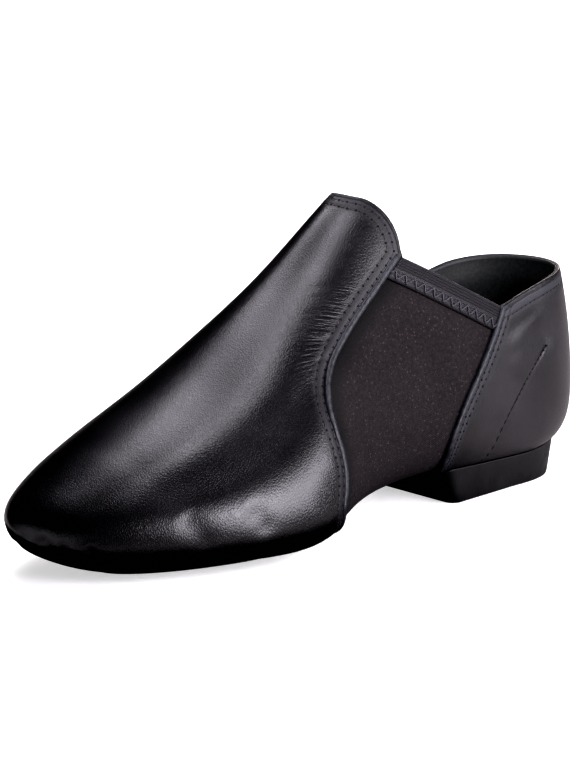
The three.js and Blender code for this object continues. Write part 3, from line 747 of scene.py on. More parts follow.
def under_height(x, y):
    """Height of the last's underside over a point of the floor."""
    sizes = section(x)
    half = np.where(y > sizes["centre"], sizes["lateral"], sizes["medial"])
    out = np.hypot(np.where(x < 0, x / HEEL_TO_BACK, 0), (y - sizes["centre"]) / np.maximum(half, 1e-6))
    up = np.maximum(1 - np.minimum(out, 1) ** sizes["base"], 0) ** (1 / sizes["base"])
    return sizes["girth"] - (sizes["girth"] - sizes["floor"]) * up


def pad_outline():
    half_length = PAD_LENGTH / 2
    turn = np.linspace(0, 2 * math.pi, 180, endpoint=False)
    x = HEEL_TO_TOE - PAD_SETBACK - half_length + np.cos(turn) * half_length
    sizes = section(x)
    half = np.where(turn < math.pi, sizes["lateral"], sizes["medial"]) * PAD_SHARE
    round_ = np.abs(np.sin(turn)) ** (2 / PAD_POWER) * np.sign(np.sin(turn))
    return np.stack([x, sizes["centre"] + half * round_], 1)


def shrunk(outline, share):
    middle = outline.mean(0)
    return middle + (outline - middle) * share


def stacked(name, levels):
    """levels: (outline, heights) from the middle of the underside round to the middle of the top."""
    rows = [np.concatenate([outline, np.asarray(z, float)[:, None]], 1) for outline, z in levels]
    return make_mesh(name, [ring(np.stack(rows))])


def make_pad():
    full = pad_outline()
    inner = [shrunk(full, share) for share in np.linspace(0, 0.985, 22)]
    over = lambda o: under_height(o[:, 0], o[:, 1]) - GAP
    under = lambda o: np.maximum(over(o) - PAD_THICKNESS, 0.0)
    levels = [(o, under(o)) for o in inner] + [(full, under(full) + 0.35), (full, over(full) - 0.15)]
    return stacked("forefoot_suede_pad", levels + [(o, over(o) + 0.1) for o in inner[::-1]])


def block_outline(rise, grow=0):
    front, back = BLOCK_FRONT + rise * BREAST_LEAN + grow, BLOCK_BACK + rise * BACK_FLARE + grow
    front_half = BLOCK_FRONT_WIDTH / 2 + rise * SIDE_FLARE + grow
    middle_half = BLOCK_MIDDLE_WIDTH / 2 + rise * SIDE_FLARE + grow
    slope = (front_half - middle_half) / front
    c = BLOCK_CORNER
    breast = [(front, y) for y in np.linspace(0, front_half - slope * c - c, 16)]
    a = np.linspace(0, math.pi / 2, 10)[1:]
    corner = list(zip(front - c + c * np.cos(a), front_half - slope * c - c + c * np.sin(a)))
    side = [(x, middle_half + slope * x) for x in np.linspace(corner[-1][0], 0, 26)[1:-1]]
    b = np.linspace(0, math.pi / 2, 40)
    sine, cosine = (np.maximum(v, 0) ** (2 / BLOCK_BACK_POWER) for v in (np.sin(b), np.cos(b)))
    back_half = list(zip(-back * sine, middle_half * cosine))
    half = np.array(breast + corner + side + back_half)
    return np.vstack([half, (half[1:-1] * [1, -1])[::-1]])


def make_block():
    foot = block_outline(0, -BLOCK_BEVEL)
    levels = [(shrunk(foot, share), np.zeros(len(foot))) for share in np.linspace(0, 1, 12)]
    for a in np.linspace(0, math.pi / 2, 5)[1:]:
        o = block_outline(0, -BLOCK_BEVEL * (1 - math.sin(a)))
        levels.append((o, np.full(len(foot), BLOCK_BEVEL * (1 - math.cos(a)))))
    # each point of the wall climbs until it meets the last
    climb = np.linspace(0, 1, 400)
    walls = np.stack([block_outline(t) for t in climb])
    room = under_height(walls[..., 0], walls[..., 1]) - 0.45 - (climb * BLOCK_TOP)[:, None]
    reach = np.array([climb[np.argmax(col < 0)] if (col < 0).any() else 1.0 for col in room.T])
    for share in np.linspace(0.08, 1, 22):
        t = reach * share
        o = np.array([[np.interp(v, climb, walls[:, k, i]) for i in (0, 1)] for k, v in enumerate(t)])
        levels.append((o, t * BLOCK_TOP))
    top, height = levels[-1]
    for share in np.linspace(0.97, 0, 14):
        o = shrunk(top, share)
        levels.append((o, under_height(o[:, 0], o[:, 1]) - 0.3))
    return stacked("heel_block_stacked", levels)


pad = make_pad()
block = make_block()

# %% [markdown]
# ## The stitches
# Two rows of stitching hold each rolled edge, one row runs below the collar and one closes the
# dart at the heel. Modelled one by one they would be endless, so Geometry Nodes sew them: a row is a
# line of points, and at even distances the tree sets a near-black disc, painted shade for a needle
# hole, and a sunken thread in turn.

# %% Short words for nodes


class Nodes:
    """Adds nodes to one tree. An input is a value or the socket that feeds it."""

    def __init__(self, tree):
        self.tree = tree

    def feed(self, made, inputs):
        for key, value in inputs.items():
            if isinstance(value, bpy.types.NodeSocket):
                self.tree.links.new(value, made.inputs[key])
            else:
                made.inputs[key].default_value = value
        return made

    def add(self, kind, inputs=None, **settings):
        made = self.tree.nodes.new(kind)
        for key, value in settings.items():
            setattr(made, key, value)
        return self.feed(made, inputs or {})

    def get(self, kind, inputs=None, **settings):
        """A new node's first output."""
        return self.add(kind, inputs, **settings).outputs[0]

    def math(self, operation, *values):
        return self.get("ShaderNodeMath", dict(enumerate(values)), operation=operation)

    def times(self, a, b):
        return self.math("MULTIPLY", a, b)

    def total(self, parts, start=None):
        """The start plus each value times its weight."""
        for value, weight in parts:
            part = self.times(value, weight)
            start = part if start is None else self.math("ADD", start, part)
        return start

    def spread(self, value, low, high, to_low=0.0, to_high=1.0):
        """A value's range, made another range with soft ends."""
        inputs = {"Value": value, "From Min": low, "From Max": high, "To Min": to_low, "To Max": to_high}
        return self.get("ShaderNodeMapRange", inputs, interpolation_type="SMOOTHSTEP")

    def mixed(self, factor, *colours):
        """Between two colours."""
        a, b = (c if isinstance(c, bpy.types.NodeSocket) else (*c, 1) for c in colours)
        return self.add("ShaderNodeMix", {0: factor, 6: a, 7: b}, data_type="RGBA").outputs[2]

    def send(self, sockets, **values):
        """Feeds a group's outputs, and gives back its tree."""
        for label, value in values.items():
            self.tree.links.new(value, sockets[label])
        return self.tree


def new_tree(name, kind, inputs, outputs):
    """A node group. An input is the name of its socket's type, or a number: a Float with that value."""
    tree = bpy.data.node_groups.new(name, kind + "NodeTree")
    for label, value in inputs.items():
        socket = value if isinstance(value, str) else "Float"
        made = tree.interface.new_socket(label, in_out="INPUT", socket_type="NodeSocket" + socket)
        if socket == "Float":
            made.default_value = value
    for label, socket in outputs.items():
        tree.interface.new_socket(label, in_out="OUTPUT", socket_type="NodeSocket" + socket)
    return Nodes(tree), tree.nodes.new("NodeGroupInput").outputs, tree.nodes.new("NodeGroupOutput").inputs


# %% Trees that sew along a line


def sewing_tree():
    """A near-black disc, painted shade for a needle hole, and a sunken thread in turn."""
    inputs = {
        "Line": "Geometry", "Pitch": 0.0033, "Hole radius": 0.0004, "Thread length": 0.0022,
        "Thread radius": 0.00028, "Thread": "Material", "Hole": "Material",
    }
    n, given, out = new_tree("sewing", "Geometry", inputs, {"Stitches": "Geometry"})
    line = n.get("GeometryNodeMeshToCurve", {"Mesh": given["Line"]})
    half = n.times(given["Pitch"], 0.5)
    line = n.get("GeometryNodeResampleCurve", {"Curve": line, "Length": half}, mode="LENGTH")
    up = n.get("GeometryNodeInputNamedAttribute", {"Name": "up"}, data_type="FLOAT_VECTOR")
    stand = n.get("FunctionNodeAlignRotationToVector", {"Vector": up}, axis="Z")
    ahead = {"Rotation": stand, "Vector": n.get("GeometryNodeInputTangent")}
    turn = n.get("FunctionNodeAlignRotationToVector", ahead, axis="X", pivot_axis="Z")
    odd = n.math("MODULO", n.get("GeometryNodeInputIndex"), 2.0)
    even = n.math("SUBTRACT", 1.0, odd)
    hole = n.get("GeometryNodeMeshCylinder", {"Vertices": 8, "Radius": given["Hole radius"], "Depth": 0.0002})
    bead = n.get("GeometryNodeMeshUVSphere", {"Segments": 8, "Rings": 5, "Radius": 1.0})
    reach, thin = n.times(given["Thread length"], 0.5), given["Thread radius"]
    size = {"Scale": n.get("ShaderNodeCombineXYZ", {0: reach, 1: thin, 2: thin})}
    join = n.add("GeometryNodeJoinGeometry")
    for shape, here, scale, material in ((hole, even, {}, "Hole"), (bead, odd, size, "Thread")):
        inputs = {"Points": line, "Selection": here, "Instance": shape, "Rotation": turn, **scale}
        solid = n.get("GeometryNodeRealizeInstances", {"Geometry": n.get("GeometryNodeInstanceOnPoints", inputs)})
        sewn = n.get("GeometryNodeSetMaterial", {"Geometry": solid, "Material": given[material]})
        n.feed(join, {0: sewn})
    return n.send(out, Stitches=join.outputs[0])


def thread_tree():
    """A round thread."""
    inputs = {"Line": "Geometry", "Radius": 0.0002, "Thread": "Material"}
    n, given, out = new_tree("thread", "Geometry", inputs, {"Stitches": "Geometry"})
    line = n.get("GeometryNodeMeshToCurve", {"Mesh": given["Line"]})
    circle = n.get("GeometryNodeCurvePrimitiveCircle", {"Resolution": 6, "Radius": given["Radius"]})
    tube = n.get("GeometryNodeCurveToMesh", {"Curve": line, "Profile Curve": circle, "Fill Caps": True})
    solid = n.get("GeometryNodeRealizeInstances", {"Geometry": tube})
    return n.send(out, Stitches=n.get("GeometryNodeSetMaterial", {"Geometry": solid, "Material": given["Thread"]}))


# %% Lines of points become plain meshes of stitches


def run_tree(name, tree, rows, settings):
    """The tree's result on rows of (points, normals), as a plain mesh object. Settings by socket name."""
    points, edges, ups = [], [], []
    for line, normal in rows:
        first = sum(len(p) for p in points)
        edges += [(first + i, first + i + 1) for i in range(len(line) - 1)]
        points.append(np.asarray(line))
        ups.append(unit(np.asarray(normal)))
    mesh = bpy.data.meshes.new(name + "_line")
    mesh.from_pydata((np.vstack(points) * MM).tolist(), edges, [])
    stored = mesh.attributes.new("up", "FLOAT_VECTOR", "POINT").data
    stored.foreach_set("vector", np.vstack(ups).ravel().astype(np.float32))
    carrier = in_scene(name + "_line", mesh)
    modifier = carrier.modifiers.new("sewing", "NODES")
    modifier.node_group = tree
    for item in tree.interface.items_tree:
        if item.item_type == "SOCKET" and item.in_out == "INPUT" and item.name in settings:
            modifier[item.identifier] = settings[item.name]
    carrier.update_tag()
    evaluated = carrier.evaluated_get(bpy.context.evaluated_depsgraph_get())
    made = bpy.data.meshes.new_from_object(evaluated)
    bpy.data.objects.remove(carrier)
    made.name = name
    made.shade_smooth()
    slots = [made.materials[p.material_index] for p in made.polygons]
    kept = [m for m in made.materials if m]
    made.materials.clear()
    for material in kept:
        made.materials.append(material)
    made.polygons.foreach_set("material_index", [kept.index(m) for m in slots])
    print(f"{name}: {triangle_count(made)} triangles of", [m.name for m in kept])
    return in_scene(name, made)


def level_line(field, value, *grids):
    """Along each row from the last column back, the point of every grid where the field reaches the value."""
    reached = field[::-1] >= value
    last = np.minimum(len(field) - 1 - reached.argmax(0), len(field) - 2)
    rows = np.arange(field.shape[1])
    a, b = field[last, rows], field[last + 1, rows]
    t = np.clip((a - value) / np.maximum(a - b, 1e-9), 0, 1)[:, None]
    return [grid[last, rows] * (1 - t) + grid[last + 1, rows] * t for grid in grids]


def both_sides(lines):
    """The lateral line up and the medial line back down, as one row."""
    (a, b), (c, d) = lines
    return np.vstack([a, c[::-1][1:]]), np.vstack([b, d[::-1][1:]])


def lifted(row, height):
    return row[0] + unit(row[1]) * height, row[1]


# %% [markdown]
# ## The finishes
# Every finish is built from a few shared effects: a leather grain, the marks of handling, a knit
# and specks of fibre. Each is a node group with named inputs, so one effect serves many finishes
# with its own sizes. Image textures could do it too, but nodes have no seams and no limit of size.

# %% Shared effects


def leather_grain():
    """Pebbles between fine creases, longer one way, and tiny pores. Heights from 0 to 1."""
    inputs = {"Vector": "Vector", "Cells": 1300.0, "Stretch": 0.6, "Warp": 0.4}
    n, given, out = new_tree("leather_grain", "Shader", inputs, {"Height": "Float", "Pores": "Float"})
    longer = n.get("ShaderNodeCombineXYZ", {0: 1.0, 1: 1.0, 2: given["Stretch"]})
    vector = n.get("ShaderNodeVectorMath", {0: given["Vector"], 1: longer}, operation="MULTIPLY")
    slow = {"Vector": vector, "Scale": n.times(given["Cells"], 0.3), "Detail": 1.0}
    drift = n.add("ShaderNodeTexNoise", slow).outputs["Color"]
    strength = n.math("DIVIDE", given["Warp"], given["Cells"])
    shift = n.get("ShaderNodeVectorMath", {0: drift, "Scale": strength}, operation="SCALE")
    vector = n.get("ShaderNodeVectorMath", {0: vector, 1: shift}, operation="ADD")
    cells = n.add("ShaderNodeTexVoronoi", {"Vector": vector, "Scale": given["Cells"]}, feature="DISTANCE_TO_EDGE")
    pebbles = n.spread(cells.outputs["Distance"], 0.0, 0.3)
    fine = n.get("ShaderNodeTexNoise", {"Vector": vector, "Scale": n.times(given["Cells"], 2.1), "Detail": 1.0})
    return n.send(out, Height=n.total([(pebbles, 0.8), (fine, 0.2)]), Pores=n.spread(fine, 0.3, 0.42, 1.0, 0.0))


def handling():
    """Slow mottling from fingers and polish, and sparse fine scuffs. Values from 0 to 1."""
    inputs = {"Vector": "Vector", "Patches": 35.0, "Scuffs": 160.0}
    n, given, out = new_tree("handling", "Shader", inputs, {"Mottle": "Float", "Scuff": "Float"})
    slow = n.get("ShaderNodeTexNoise", {"Vector": given["Vector"], "Scale": given["Patches"], "Detail": 3.0})
    winding = {"Vector": given["Vector"], "Scale": given["Scuffs"], "Detail": 4.0, "Distortion": 1.6}
    line = n.math("ABSOLUTE", n.math("SUBTRACT", n.get("ShaderNodeTexNoise", winding), 0.5))
    scuff = n.times(n.spread(line, 0.0, 0.012, 1.0, 0.0), n.spread(slow, 0.56, 0.66))
    return n.send(out, Mottle=n.spread(slow, 0.3, 0.7), Scuff=scuff)


def knit():
    """Rows of small loops, seen from the side. Height from 0 to 1."""
    inputs = {"Vector": "Vector", "Wales": 1100.0, "Courses": 1500.0}
    n, given, out = new_tree("knit", "Shader", inputs, {"Height": "Float"})
    axes = n.add("ShaderNodeSeparateXYZ", {0: given["Vector"]}).outputs
    across, along = (n.times(n.times(axes[i], given[key]), 2 * math.pi) for i, key in ((0, "Wales"), (2, "Courses")))
    wale = n.math("SINE", across)
    loops = n.math("SINE", n.total([(wale, 1.4)], along))
    return n.send(out, Height=n.total([(loops, 0.5), (n.math("ABSOLUTE", wale), 0.5), (1.0, 0.25)]))


def specks():
    """Fibre ends and lint, and painted glints: tiny lighter spots where fibres would catch the light."""
    inputs = {"Vector": "Vector", "Density": 900.0, "Size": 0.25}
    n, given, out = new_tree("specks", "Shader", inputs, {"Spots": "Float", "Nap": "Float"})
    where = {"Vector": given["Vector"], "Scale": given["Density"]}
    cells = n.add("ShaderNodeTexVoronoi", where).outputs
    near = n.math("LESS_THAN", cells["Distance"], given["Size"])
    pick = n.spread(n.get("ShaderNodeSeparateXYZ", {0: cells["Color"]}), 0.5, 1.0)
    return n.send(out, Spots=n.times(near, pick), Nap=n.get("ShaderNodeTexNoise", {**where, "Detail": 3.0}))


GRAIN, HANDLING, KNIT, SPECKS = leather_grain(), handling(), knit(), specks()
print("shared effects:", [g.name for g in (GRAIN, HANDLING, KNIT, SPECKS)])


# %% A start and an end for every finish


class Finish(Nodes):
    """A new material's nodes, with the constant sockets set and its object coordinates at hand."""

    def __init__(self, name, **constants):
        self.material = bpy.data.materials.new(name)
        self.material.use_nodes = True
        super().__init__(self.material.node_tree)
        self.shader = self.tree.nodes["Principled BSDF"]
        self.feed(self.shader, {key.replace("_", " "): value for key, value in constants.items()})
        self.where = self.add("ShaderNodeTexCoord").outputs["Object"]

    def effect(self, group, **sizes):
        """A shared effect with this finish's own sizes."""
        return self.add("ShaderNodeGroup", {"Vector": self.where, **sizes}, node_tree=group).outputs

    def attribute(self, name):
        return self.add("ShaderNodeAttribute", attribute_name=name, attribute_type="GEOMETRY").outputs["Fac"]

    def done(self, colour, rough, heights):
        """Feeds the colour, the roughness and the sum of the heights, each with its depth in millimetres."""
        bump = self.get("ShaderNodeBump", {"Height": self.total(heights), "Distance": MM, "Strength": 1.0})
        self.feed(self.shader, {"Base Color": colour, "Roughness": rough, "Normal": bump})
        return self.material


# %% [markdown]
# ## Leather
# The vamp is smooth black leather with a soft gloss and a fine grain. It is wetted and pulled, so
# the grain is longer one way, and wrinkles run off the stitched edge. The quarter is the same hide
# with less polish, so its gloss is satin. Both follow the distance to their edge, kept in the mesh.

# %% The two leathers


def leather(name, dark, light, edge, gloss, grain_depth, wrinkle_depth):
    n = Finish(name)
    grain, marks = n.effect(GRAIN, Cells=1250.0), n.effect(HANDLING)
    far, run = n.attribute("edge_far"), n.attribute("edge_run")
    lean = n.total([(far, 0.55)], run)
    lines = n.get("ShaderNodeCombineXYZ", {0: n.times(lean, 0.8), 1: n.times(far, 0.08)})
    folds = n.get("ShaderNodeTexNoise", {"Vector": lines, "Scale": 1.0, "Detail": 2.0, "Roughness": 0.6})
    folds = n.times(n.spread(folds, 0.3, 0.62), n.attribute("wrinkle"))
    shade = n.mixed(n.spread(far, 3.0, 6.5, 1.0, 0.0), n.mixed(marks["Mottle"], dark, light), edge)
    # the stitched band is creased by the machine's foot, so it is duller
    band = n.spread(far, 4.5, 8.5, 0.2, 0.0)
    rough = n.total([(marks["Mottle"], 0.05), (grain["Pores"], 0.08), (marks["Scuff"], 0.06), (band, 1.0)], gloss)
    return n.done(shade, rough, [(grain["Height"], grain_depth), (folds, wrinkle_depth), (marks["Scuff"], -0.006)])


smooth = leather(
    "smooth_leather", (0.003, 0.0028, 0.0034), (0.0055, 0.0052, 0.006), (0.009, 0.009, 0.011), 0.28, 0.03, 0.1
)
satin = leather(
    "satin_leather", (0.008, 0.0078, 0.0088), (0.022, 0.0215, 0.0235), (0.032, 0.033, 0.039), 0.38, 0.024, 0.1
)

# %% Rolled edges, cloths and elastic


def binding_finish():
    n = Finish("binding_leather")
    grain, mottle = n.effect(GRAIN, Cells=1500.0, Stretch=1.0), n.effect(HANDLING, Patches=180.0)["Mottle"]
    wave = n.math("SINE", n.times(n.attribute("edge_run"), 2 * math.pi / BEAD_WAVE))
    bead = n.mixed(mottle, (0.009, 0.01, 0.0125), (0.03, 0.032, 0.038))
    shade = n.mixed(n.attribute("folded"), bead, (0.004, 0.004, 0.0046))
    return n.done(shade, n.total([(mottle, 0.12)], 0.4), [(grain["Height"], 0.04), (wave, 0.02)])


def cloth_finish(name, dark, light, rough, wales, courses, depth, specks_light, shade_under_edge=False):
    n = Finish(name)
    loops = n.effect(KNIT, Wales=wales, Courses=courses)["Height"]
    dust_and_glints, mottle = n.effect(SPECKS, Density=850.0, Size=0.28), n.effect(HANDLING)["Mottle"]
    shade = n.mixed(n.spread(dust_and_glints["Nap"], 0.36, 0.64), dark, light)
    # the lighter spots are partly fibre ends and lint, partly painted glints of the knit
    shade = n.mixed(n.times(dust_and_glints["Spots"], 0.6), shade, specks_light)
    if shade_under_edge:  # painted shade: the cloth is darkened where it runs under the vamp's edge, standing for the edge's shadow
        shade = n.mixed(n.spread(n.attribute("edge_far"), 2.0, 9.0), tuple(v * 0.02 for v in dark), shade)
    return n.done(shade, n.total([(mottle, 0.08)], rough), [(loops, depth), (dust_and_glints["Nap"], depth)])


def elastic_finish():
    n = Finish("covered_elastic")
    weave = n.effect(KNIT, Wales=1400.0, Courses=1400.0)["Height"]
    dust_and_glints = n.effect(SPECKS, Density=1400.0)
    rib = n.math("SINE", n.times(n.attribute("tape_depth"), 2 * math.pi / 0.51))
    shade = n.mixed(dust_and_glints["Nap"], (0.009, 0.009, 0.0105), (0.022, 0.022, 0.025))
    # the lighter spots are partly fibre ends and lint, partly painted glints of the weave
    shade = n.mixed(n.times(dust_and_glints["Spots"], 0.35), shade, (0.05, 0.05, 0.055))
    return n.done(shade, n.spread(dust_and_glints["Nap"], 0.3, 0.7, 0.45, 0.62), [(weave, 0.05), (rib, 0.02)])


binding, elastic = binding_finish(), elastic_finish()
stretch_cloth = cloth_finish(
    "stretch_cloth", (0.0065, 0.0045, 0.0053), (0.016, 0.0115, 0.0132),
    0.8, 900.0, 1300.0, 0.06, (0.08, 0.06, 0.065), shade_under_edge=True,
)
lining_cloth = cloth_finish(
    "lining_cloth", (0.02, 0.0225, 0.0215), (0.03, 0.033, 0.0315), 0.55, 1500.0, 1500.0, 0.015, (0.03, 0.033, 0.032)
)
sock_cloth = cloth_finish(
    "sock_cloth", (0.006, 0.007, 0.007), (0.011, 0.012, 0.012), 0.7, 1200.0, 1200.0, 0.03, (0.03, 0.03, 0.03)
)

# %% Suede, heel, thread, and the painted shade of needle holes


def rubbed_finish(name, sizes, depths, dark, light, rubbed, share, rough, **constants):
    """A mottled surface, rubbed lighter where it is scuffed. rough: which value drives it, and its range."""
    n = Finish(name, **constants)
    (density, patches, scuffs), (nap_depth, scuff_depth) = sizes, depths
    nap, marks = n.effect(SPECKS, Density=density)["Nap"], n.effect(HANDLING, Patches=patches, Scuffs=scuffs)
    shade = n.mixed(n.times(marks["Scuff"], share), n.mixed(marks["Mottle"], dark, light), rubbed)
    source, *limits = rough
    driver = nap if source == "nap" else marks["Mottle"]
    return n.done(shade, n.spread(driver, *limits), [(nap, nap_depth), (marks["Scuff"], scuff_depth)])


def thread_finish(name, dark, light, rough):
    n = Finish(name)
    nap = n.effect(SPECKS, Density=2600.0)["Nap"]
    return n.done(n.mixed(nap, dark, light), n.spread(nap, 0.3, 0.7, rough, rough + 0.1), [(nap, 0.03)])


suede = rubbed_finish(
    "suede", (1300.0, 70.0, 90.0), (0.12, -0.1), (0.012, 0.012, 0.013), (0.03, 0.029, 0.03),
    (0.08, 0.078, 0.078), 0.5, ("nap", 0.3, 0.7, 0.85, 0.98), Sheen_Weight=0.15,
)
heel_rubber = rubbed_finish(
    "heel_rubber", (700.0, 110.0, 120.0), (0.05, -0.04), (0.003, 0.003, 0.0035), (0.0065, 0.0065, 0.007),
    (0.035, 0.035, 0.036), 0.3, ("mottle", 0.0, 1.0, 0.55, 0.7),
)
waxed_thread = thread_finish("waxed_thread", (0.006, 0.006, 0.007), (0.018, 0.018, 0.02), 0.35)
textured_thread = thread_finish("textured_thread", (0.015, 0.015, 0.018), (0.07, 0.07, 0.08), 0.45)
# painted shade: near-black discs stand for the shade inside each needle hole
needle_hole = thread_finish("needle_hole", (0.001, 0.001, 0.001), (0.002, 0.002, 0.002), 0.8)
LOOKS = smooth, satin, binding, elastic, stretch_cloth, lining_cloth, sock_cloth, suede, heel_rubber
print("finishes:", [look.name for look in (*LOOKS, waxed_thread, textured_thread, needle_hole)])

# %% [markdown]
# ## Sewing the rows
# Each row keeps its distance to the edge that it holds, so it is read off the leather's own grid
# where that distance is reached. The zigzag on the tapes is a line whose depth swings to and fro.

# %% Rows on the vamp and the quarter
SEWING, THREAD = sewing_tree(), thread_tree()
EDGE_ROWS, QUARTER_EDGE_ROWS, COLLAR_ROW = (3.0, 5.6), (2.8, 4.5), 4.6


def sew(name, rows, pitch=3.3, hole=0.5, length=1.9, radius=0.2, lift=-0.04):
    settings = {
        "Pitch": pitch * MM, "Hole radius": hole * MM, "Thread length": length * MM, "Thread radius": radius * MM,
        "Thread": waxed_thread, "Hole": needle_hole,
    }
    return run_tree(name, SEWING, [lifted(row, lift) for row in rows], settings)


vamp_lines = [both_sides([level_line(rows[0], far, *rows[1:]) for rows in vamp_rows.values()]) for far in EDGE_ROWS]
vamp_sewing = sew("vamp_stitches", vamp_lines)

quarter_lines, collar_lines = [], []
for front_far, top_far, skin, normal in quarter_rows.values():
    for far in QUARTER_EDGE_ROWS:
        lines = level_line(front_far[::-1], far, skin[::-1], normal[::-1])
        quarter_lines.append([line[: int(len(line) * 0.95)] for line in lines])
    across = [np.moveaxis(grid, 0, 1) for grid in (top_far, skin, normal)]
    collar_lines.append(level_line(across[0], COLLAR_ROW, *across[1:]))
quarter_sewing = sew("quarter_stitches", quarter_lines, pitch=3.0)
collar_sewing = sew("collar_stitches", [both_sides(collar_lines)], pitch=2.6, hole=0.3, length=1.7)

# %% The dart at the heel, and the zigzag on the tapes
dart = smooth_line(DART, 12)
dart_place = place_on_last(dart[:, 0], dart[:, 1])
dart_normal = last_normal(*dart_place, 1)
dart_row = last_point(*dart_place, 1) - dart_normal * 0.3, dart_normal
top_part, low_part = ([part[piece] for part in dart_row] for piece in (slice(40), slice(32, None)))
dart_sewing = sew("dart_stitches", [top_part], pitch=2.2, hole=0.4, length=1.3, radius=0.18, lift=0.1)
# painted shade: the lower dart is a thread sunk in its groove, in the near-black of the painted hole shade, so it
# stands for both the thread and the groove's shade
dart_seam = run_tree("dart_seam", THREAD, [low_part], {"Radius": 0.26 * MM, "Thread": needle_hole})

ZIGZAG_DEPTH, ZIGZAG_SWING, ZIGZAG_PITCH = 7.2, 1.4, 4.4


def zigzag_row(side):
    """A line whose depth on the tape swings to and fro, read from lines at even depths."""
    lines = np.stack([tape_line_at(depth, 200) for depth in np.linspace(0, TAPE_WIDTH, 40)])
    length = np.linalg.norm(np.diff(lines[30], axis=0), axis=1).sum()
    t = np.linspace(0, 1, 560)
    turns = round(length / ZIGZAG_PITCH)
    phase = t * turns * 2 * math.pi
    depth = ZIGZAG_DEPTH + ZIGZAG_SWING * np.tanh(2.5 * np.sin(phase)) / np.tanh(2.5)
    k, f = np.divmod(depth / TAPE_WIDTH * 39, 1)
    j = np.clip(t + 0.15 * np.sin(2 * phase) / turns, 0, 1) * 199
    low, high = lines[k.astype(int)], lines[k.astype(int) + 1]
    at = lambda line, v: [np.interp(v, np.arange(200), line[:, axis]) for axis in (0, 1)]
    pick = lambda part: np.array([at(line, v) for line, v in zip(part, j)])
    point = pick(low) * (1 - f)[:, None] + pick(high) * f[:, None]
    place = place_on_last(point[:, 0], point[:, 1])
    normal = last_normal(*place, side)
    return last_point(*place, side) + normal * (tape_relief(depth) - TAPE_SINK + 0.14)[:, None], normal


zigzag_rows = [zigzag_row(side) for side in (1, -1)]
zigzag = run_tree("tape_zigzag", THREAD, zigzag_rows, {"Radius": 0.36 * MM, "Thread": textured_thread})

# %% [markdown]
# ## The studio
# A plain pale floor, soft lamps and a camera that stands where the photographer stood. The camera's
# place was worked out from the shoe's known sizes, so the render and the photograph lie on each
# other. A small soft panel hangs close over the instep and draws the band along it, long ones stand
# round the shoe and draw the light along the outer toes and the heel, and one lights the floor.

# %% Floor, camera and lamps
AIM = Vector((0.101744, 0, 0.052682))
CAMERA_ANGLES = 137.146, 13.304
FOCAL_PIXELS, PHOTO_ROWS, SENSOR = 2798.8, 768, 36
FLOOR_REACH = 6


def towards(azimuth, elevation):
    """The direction from the shoe to a place round it. Azimuth 0 is the medial side, 90 the toe."""
    a, e = math.radians(azimuth), math.radians(elevation)
    return Vector((math.sin(a) * math.cos(e), -math.cos(a) * math.cos(e), math.sin(e)))


corners = [(x * FLOOR_REACH, y * FLOOR_REACH, 0) for x, y in ((-1, -1), (1, -1), (1, 1), (-1, 1))]
floor_mesh = bpy.data.meshes.new("floor")
floor_mesh.from_pydata(corners, [], [(0, 1, 2, 3)])
in_scene("floor", floor_mesh)

camera = in_scene("camera", bpy.data.cameras.new("camera"))
camera.location = AIM + towards(*CAMERA_ANGLES)
camera.rotation_euler = towards(*CAMERA_ANGLES).to_track_quat("Z", "Y").to_euler()
camera.data.sensor_fit, camera.data.sensor_height = "VERTICAL", SENSOR
camera.data.lens = SENSOR * FOCAL_PIXELS / PHOTO_ROWS
scene.camera = camera

n = Finish("pale_floor", Emission_Strength=0.4, Roughness=0.9, Specular_IOR_Level=0.1)
pale = n.mixed(n.effect(HANDLING, Patches=3.0)["Mottle"], (0.8, 0.8, 0.8), (0.82, 0.82, 0.82))
# painted shade: what the shoe mirrors of the floor is darker than what the camera sees, and darkest round the
# forefoot, a painted shadow that shows only in the shoe's reflections
spot = n.get("ShaderNodeMapping", {"Vector": n.where, "Location": (-1.12, 0, 0), "Scale": (8.0, 8.5, 0)})
painted_floor_shadow = n.spread(n.add("ShaderNodeVectorMath", {0: spot}, operation="LENGTH").outputs["Value"], 0.8, 1.2)
shaded_mirror_colour = n.mixed(painted_floor_shadow, (0.02, 0.02, 0.02), (0.6, 0.57, 0.565))
seen = n.add("ShaderNodeLightPath").outputs["Is Camera Ray"]
glow = n.mixed(seen, (0, 0, 0), (1, 1, 1))
n.feed(n.shader, {"Base Color": n.mixed(seen, shaded_mirror_colour, pale), "Emission Color": glow})
floor_mesh.materials.append(n.material)

WARM = (1.0, 0.9, 0.88)


def panel(name, place, width, height, power, colour=(0.96, 0.92, 1.0), aim=AIM):
    """A soft rectangular lamp that faces the shoe."""
    data = bpy.data.lights.new(name, "AREA")
    data.shape, data.size, data.size_y = "RECTANGLE", width, height
    data.energy, data.color = power, colour
    lamp = in_scene(name, data)
    lamp.location = place
    lamp.rotation_euler = (Vector(place) - Vector(aim)).to_track_quat("Z", "Y").to_euler()
    lamp.visible_camera = False
    return lamp


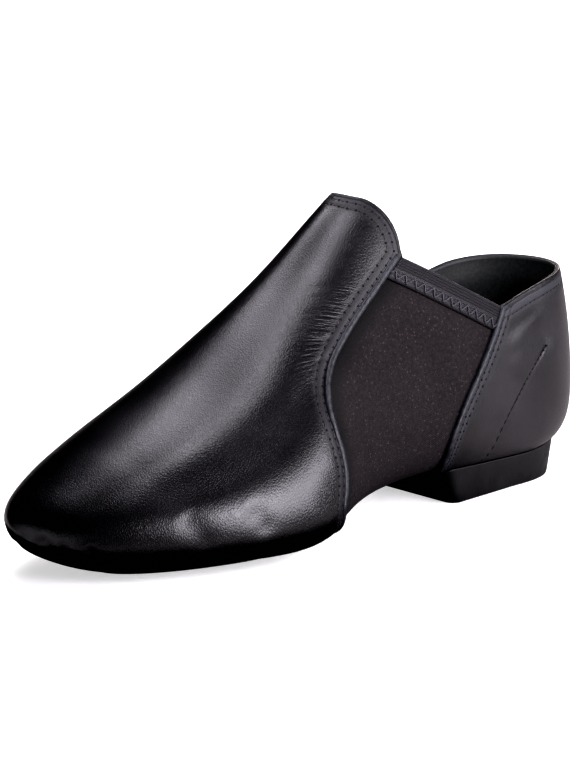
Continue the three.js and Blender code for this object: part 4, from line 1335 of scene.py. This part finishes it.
panel("instep_panel", AIM + towards(2, 67) * 0.43, 0.14, 0.24, 0.85)
panel("flap_panel", (0.15, 0.06, 0.41), 0.13, 0.13, 0.5, aim=(0.08, 0, 0.1))
panel("side_panel", AIM + towards(199, 20) * 1.5, 1.75, 0.62, 29)
panel("toe_panel", AIM + towards(177, 29) * 1.3, 0.44, 0.28, 4.4)
panel("rim_panel", AIM + towards(306, 12) * 1.5, 0.8, 0.55, 8, WARM)
panel("front_panel", AIM + towards(80, 12) * 1.5, 2.2, 0.7, 5)
background = panel("background_panel", (-1.7, -1.8, 2.2), 2.4, 2.4, 90, (1, 1, 1), aim=(-1.7, -1.8, 0))
background.visible_glossy = False
world = bpy.data.worlds.new("studio")
world.use_nodes = True
world.node_tree.nodes["Background"].inputs[0].default_value = (0.012, 0.012, 0.013, 1)
scene.world = world
view = scene.view_settings
view.view_transform, view.look = "Standard", "High Contrast"
view.use_curve_mapping = True
view.curve_mapping.black_level = (0.009, 0.009, 0.009)
view.curve_mapping.update()

# %% The pieces join the frame
# each piece with its finish, unless it was sewn, its slot and the solid that it stands for
PIECES = [
    (vamp, smooth, "leather", "vamp"),
    (quarter, satin, "leather", "quarter"),
    (cloth, stretch_cloth, "stretch", "upper"),
    (lining, lining_cloth, "lining", "upper"),
    (vamp_roll, binding, "binding", "vamp_binding"),
    (quarter_roll, binding, "binding", "quarter_binding"),
    (tape_lateral, elastic, "elastic", "tape_lateral"),
    (tape_medial, elastic, "elastic", "tape_medial"),
    (sock, sock_cloth, "lining", "insole"),
    (pad, suede, "sole", "forefoot_pad"),
    (block, heel_rubber, "sole", "heel_block"),
    (vamp_sewing, None, "binding", None),
    (quarter_sewing, None, "binding", None),
    (collar_sewing, None, "binding", None),
    (dart_sewing, None, "binding", None),
    (dart_seam, None, "binding", None),
    (zigzag, None, "elastic", None),
]
for piece, look, slot, node in PIECES:
    if look:
        piece.data.materials.append(look)
    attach(piece, "root")
    if node:
        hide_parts(node)
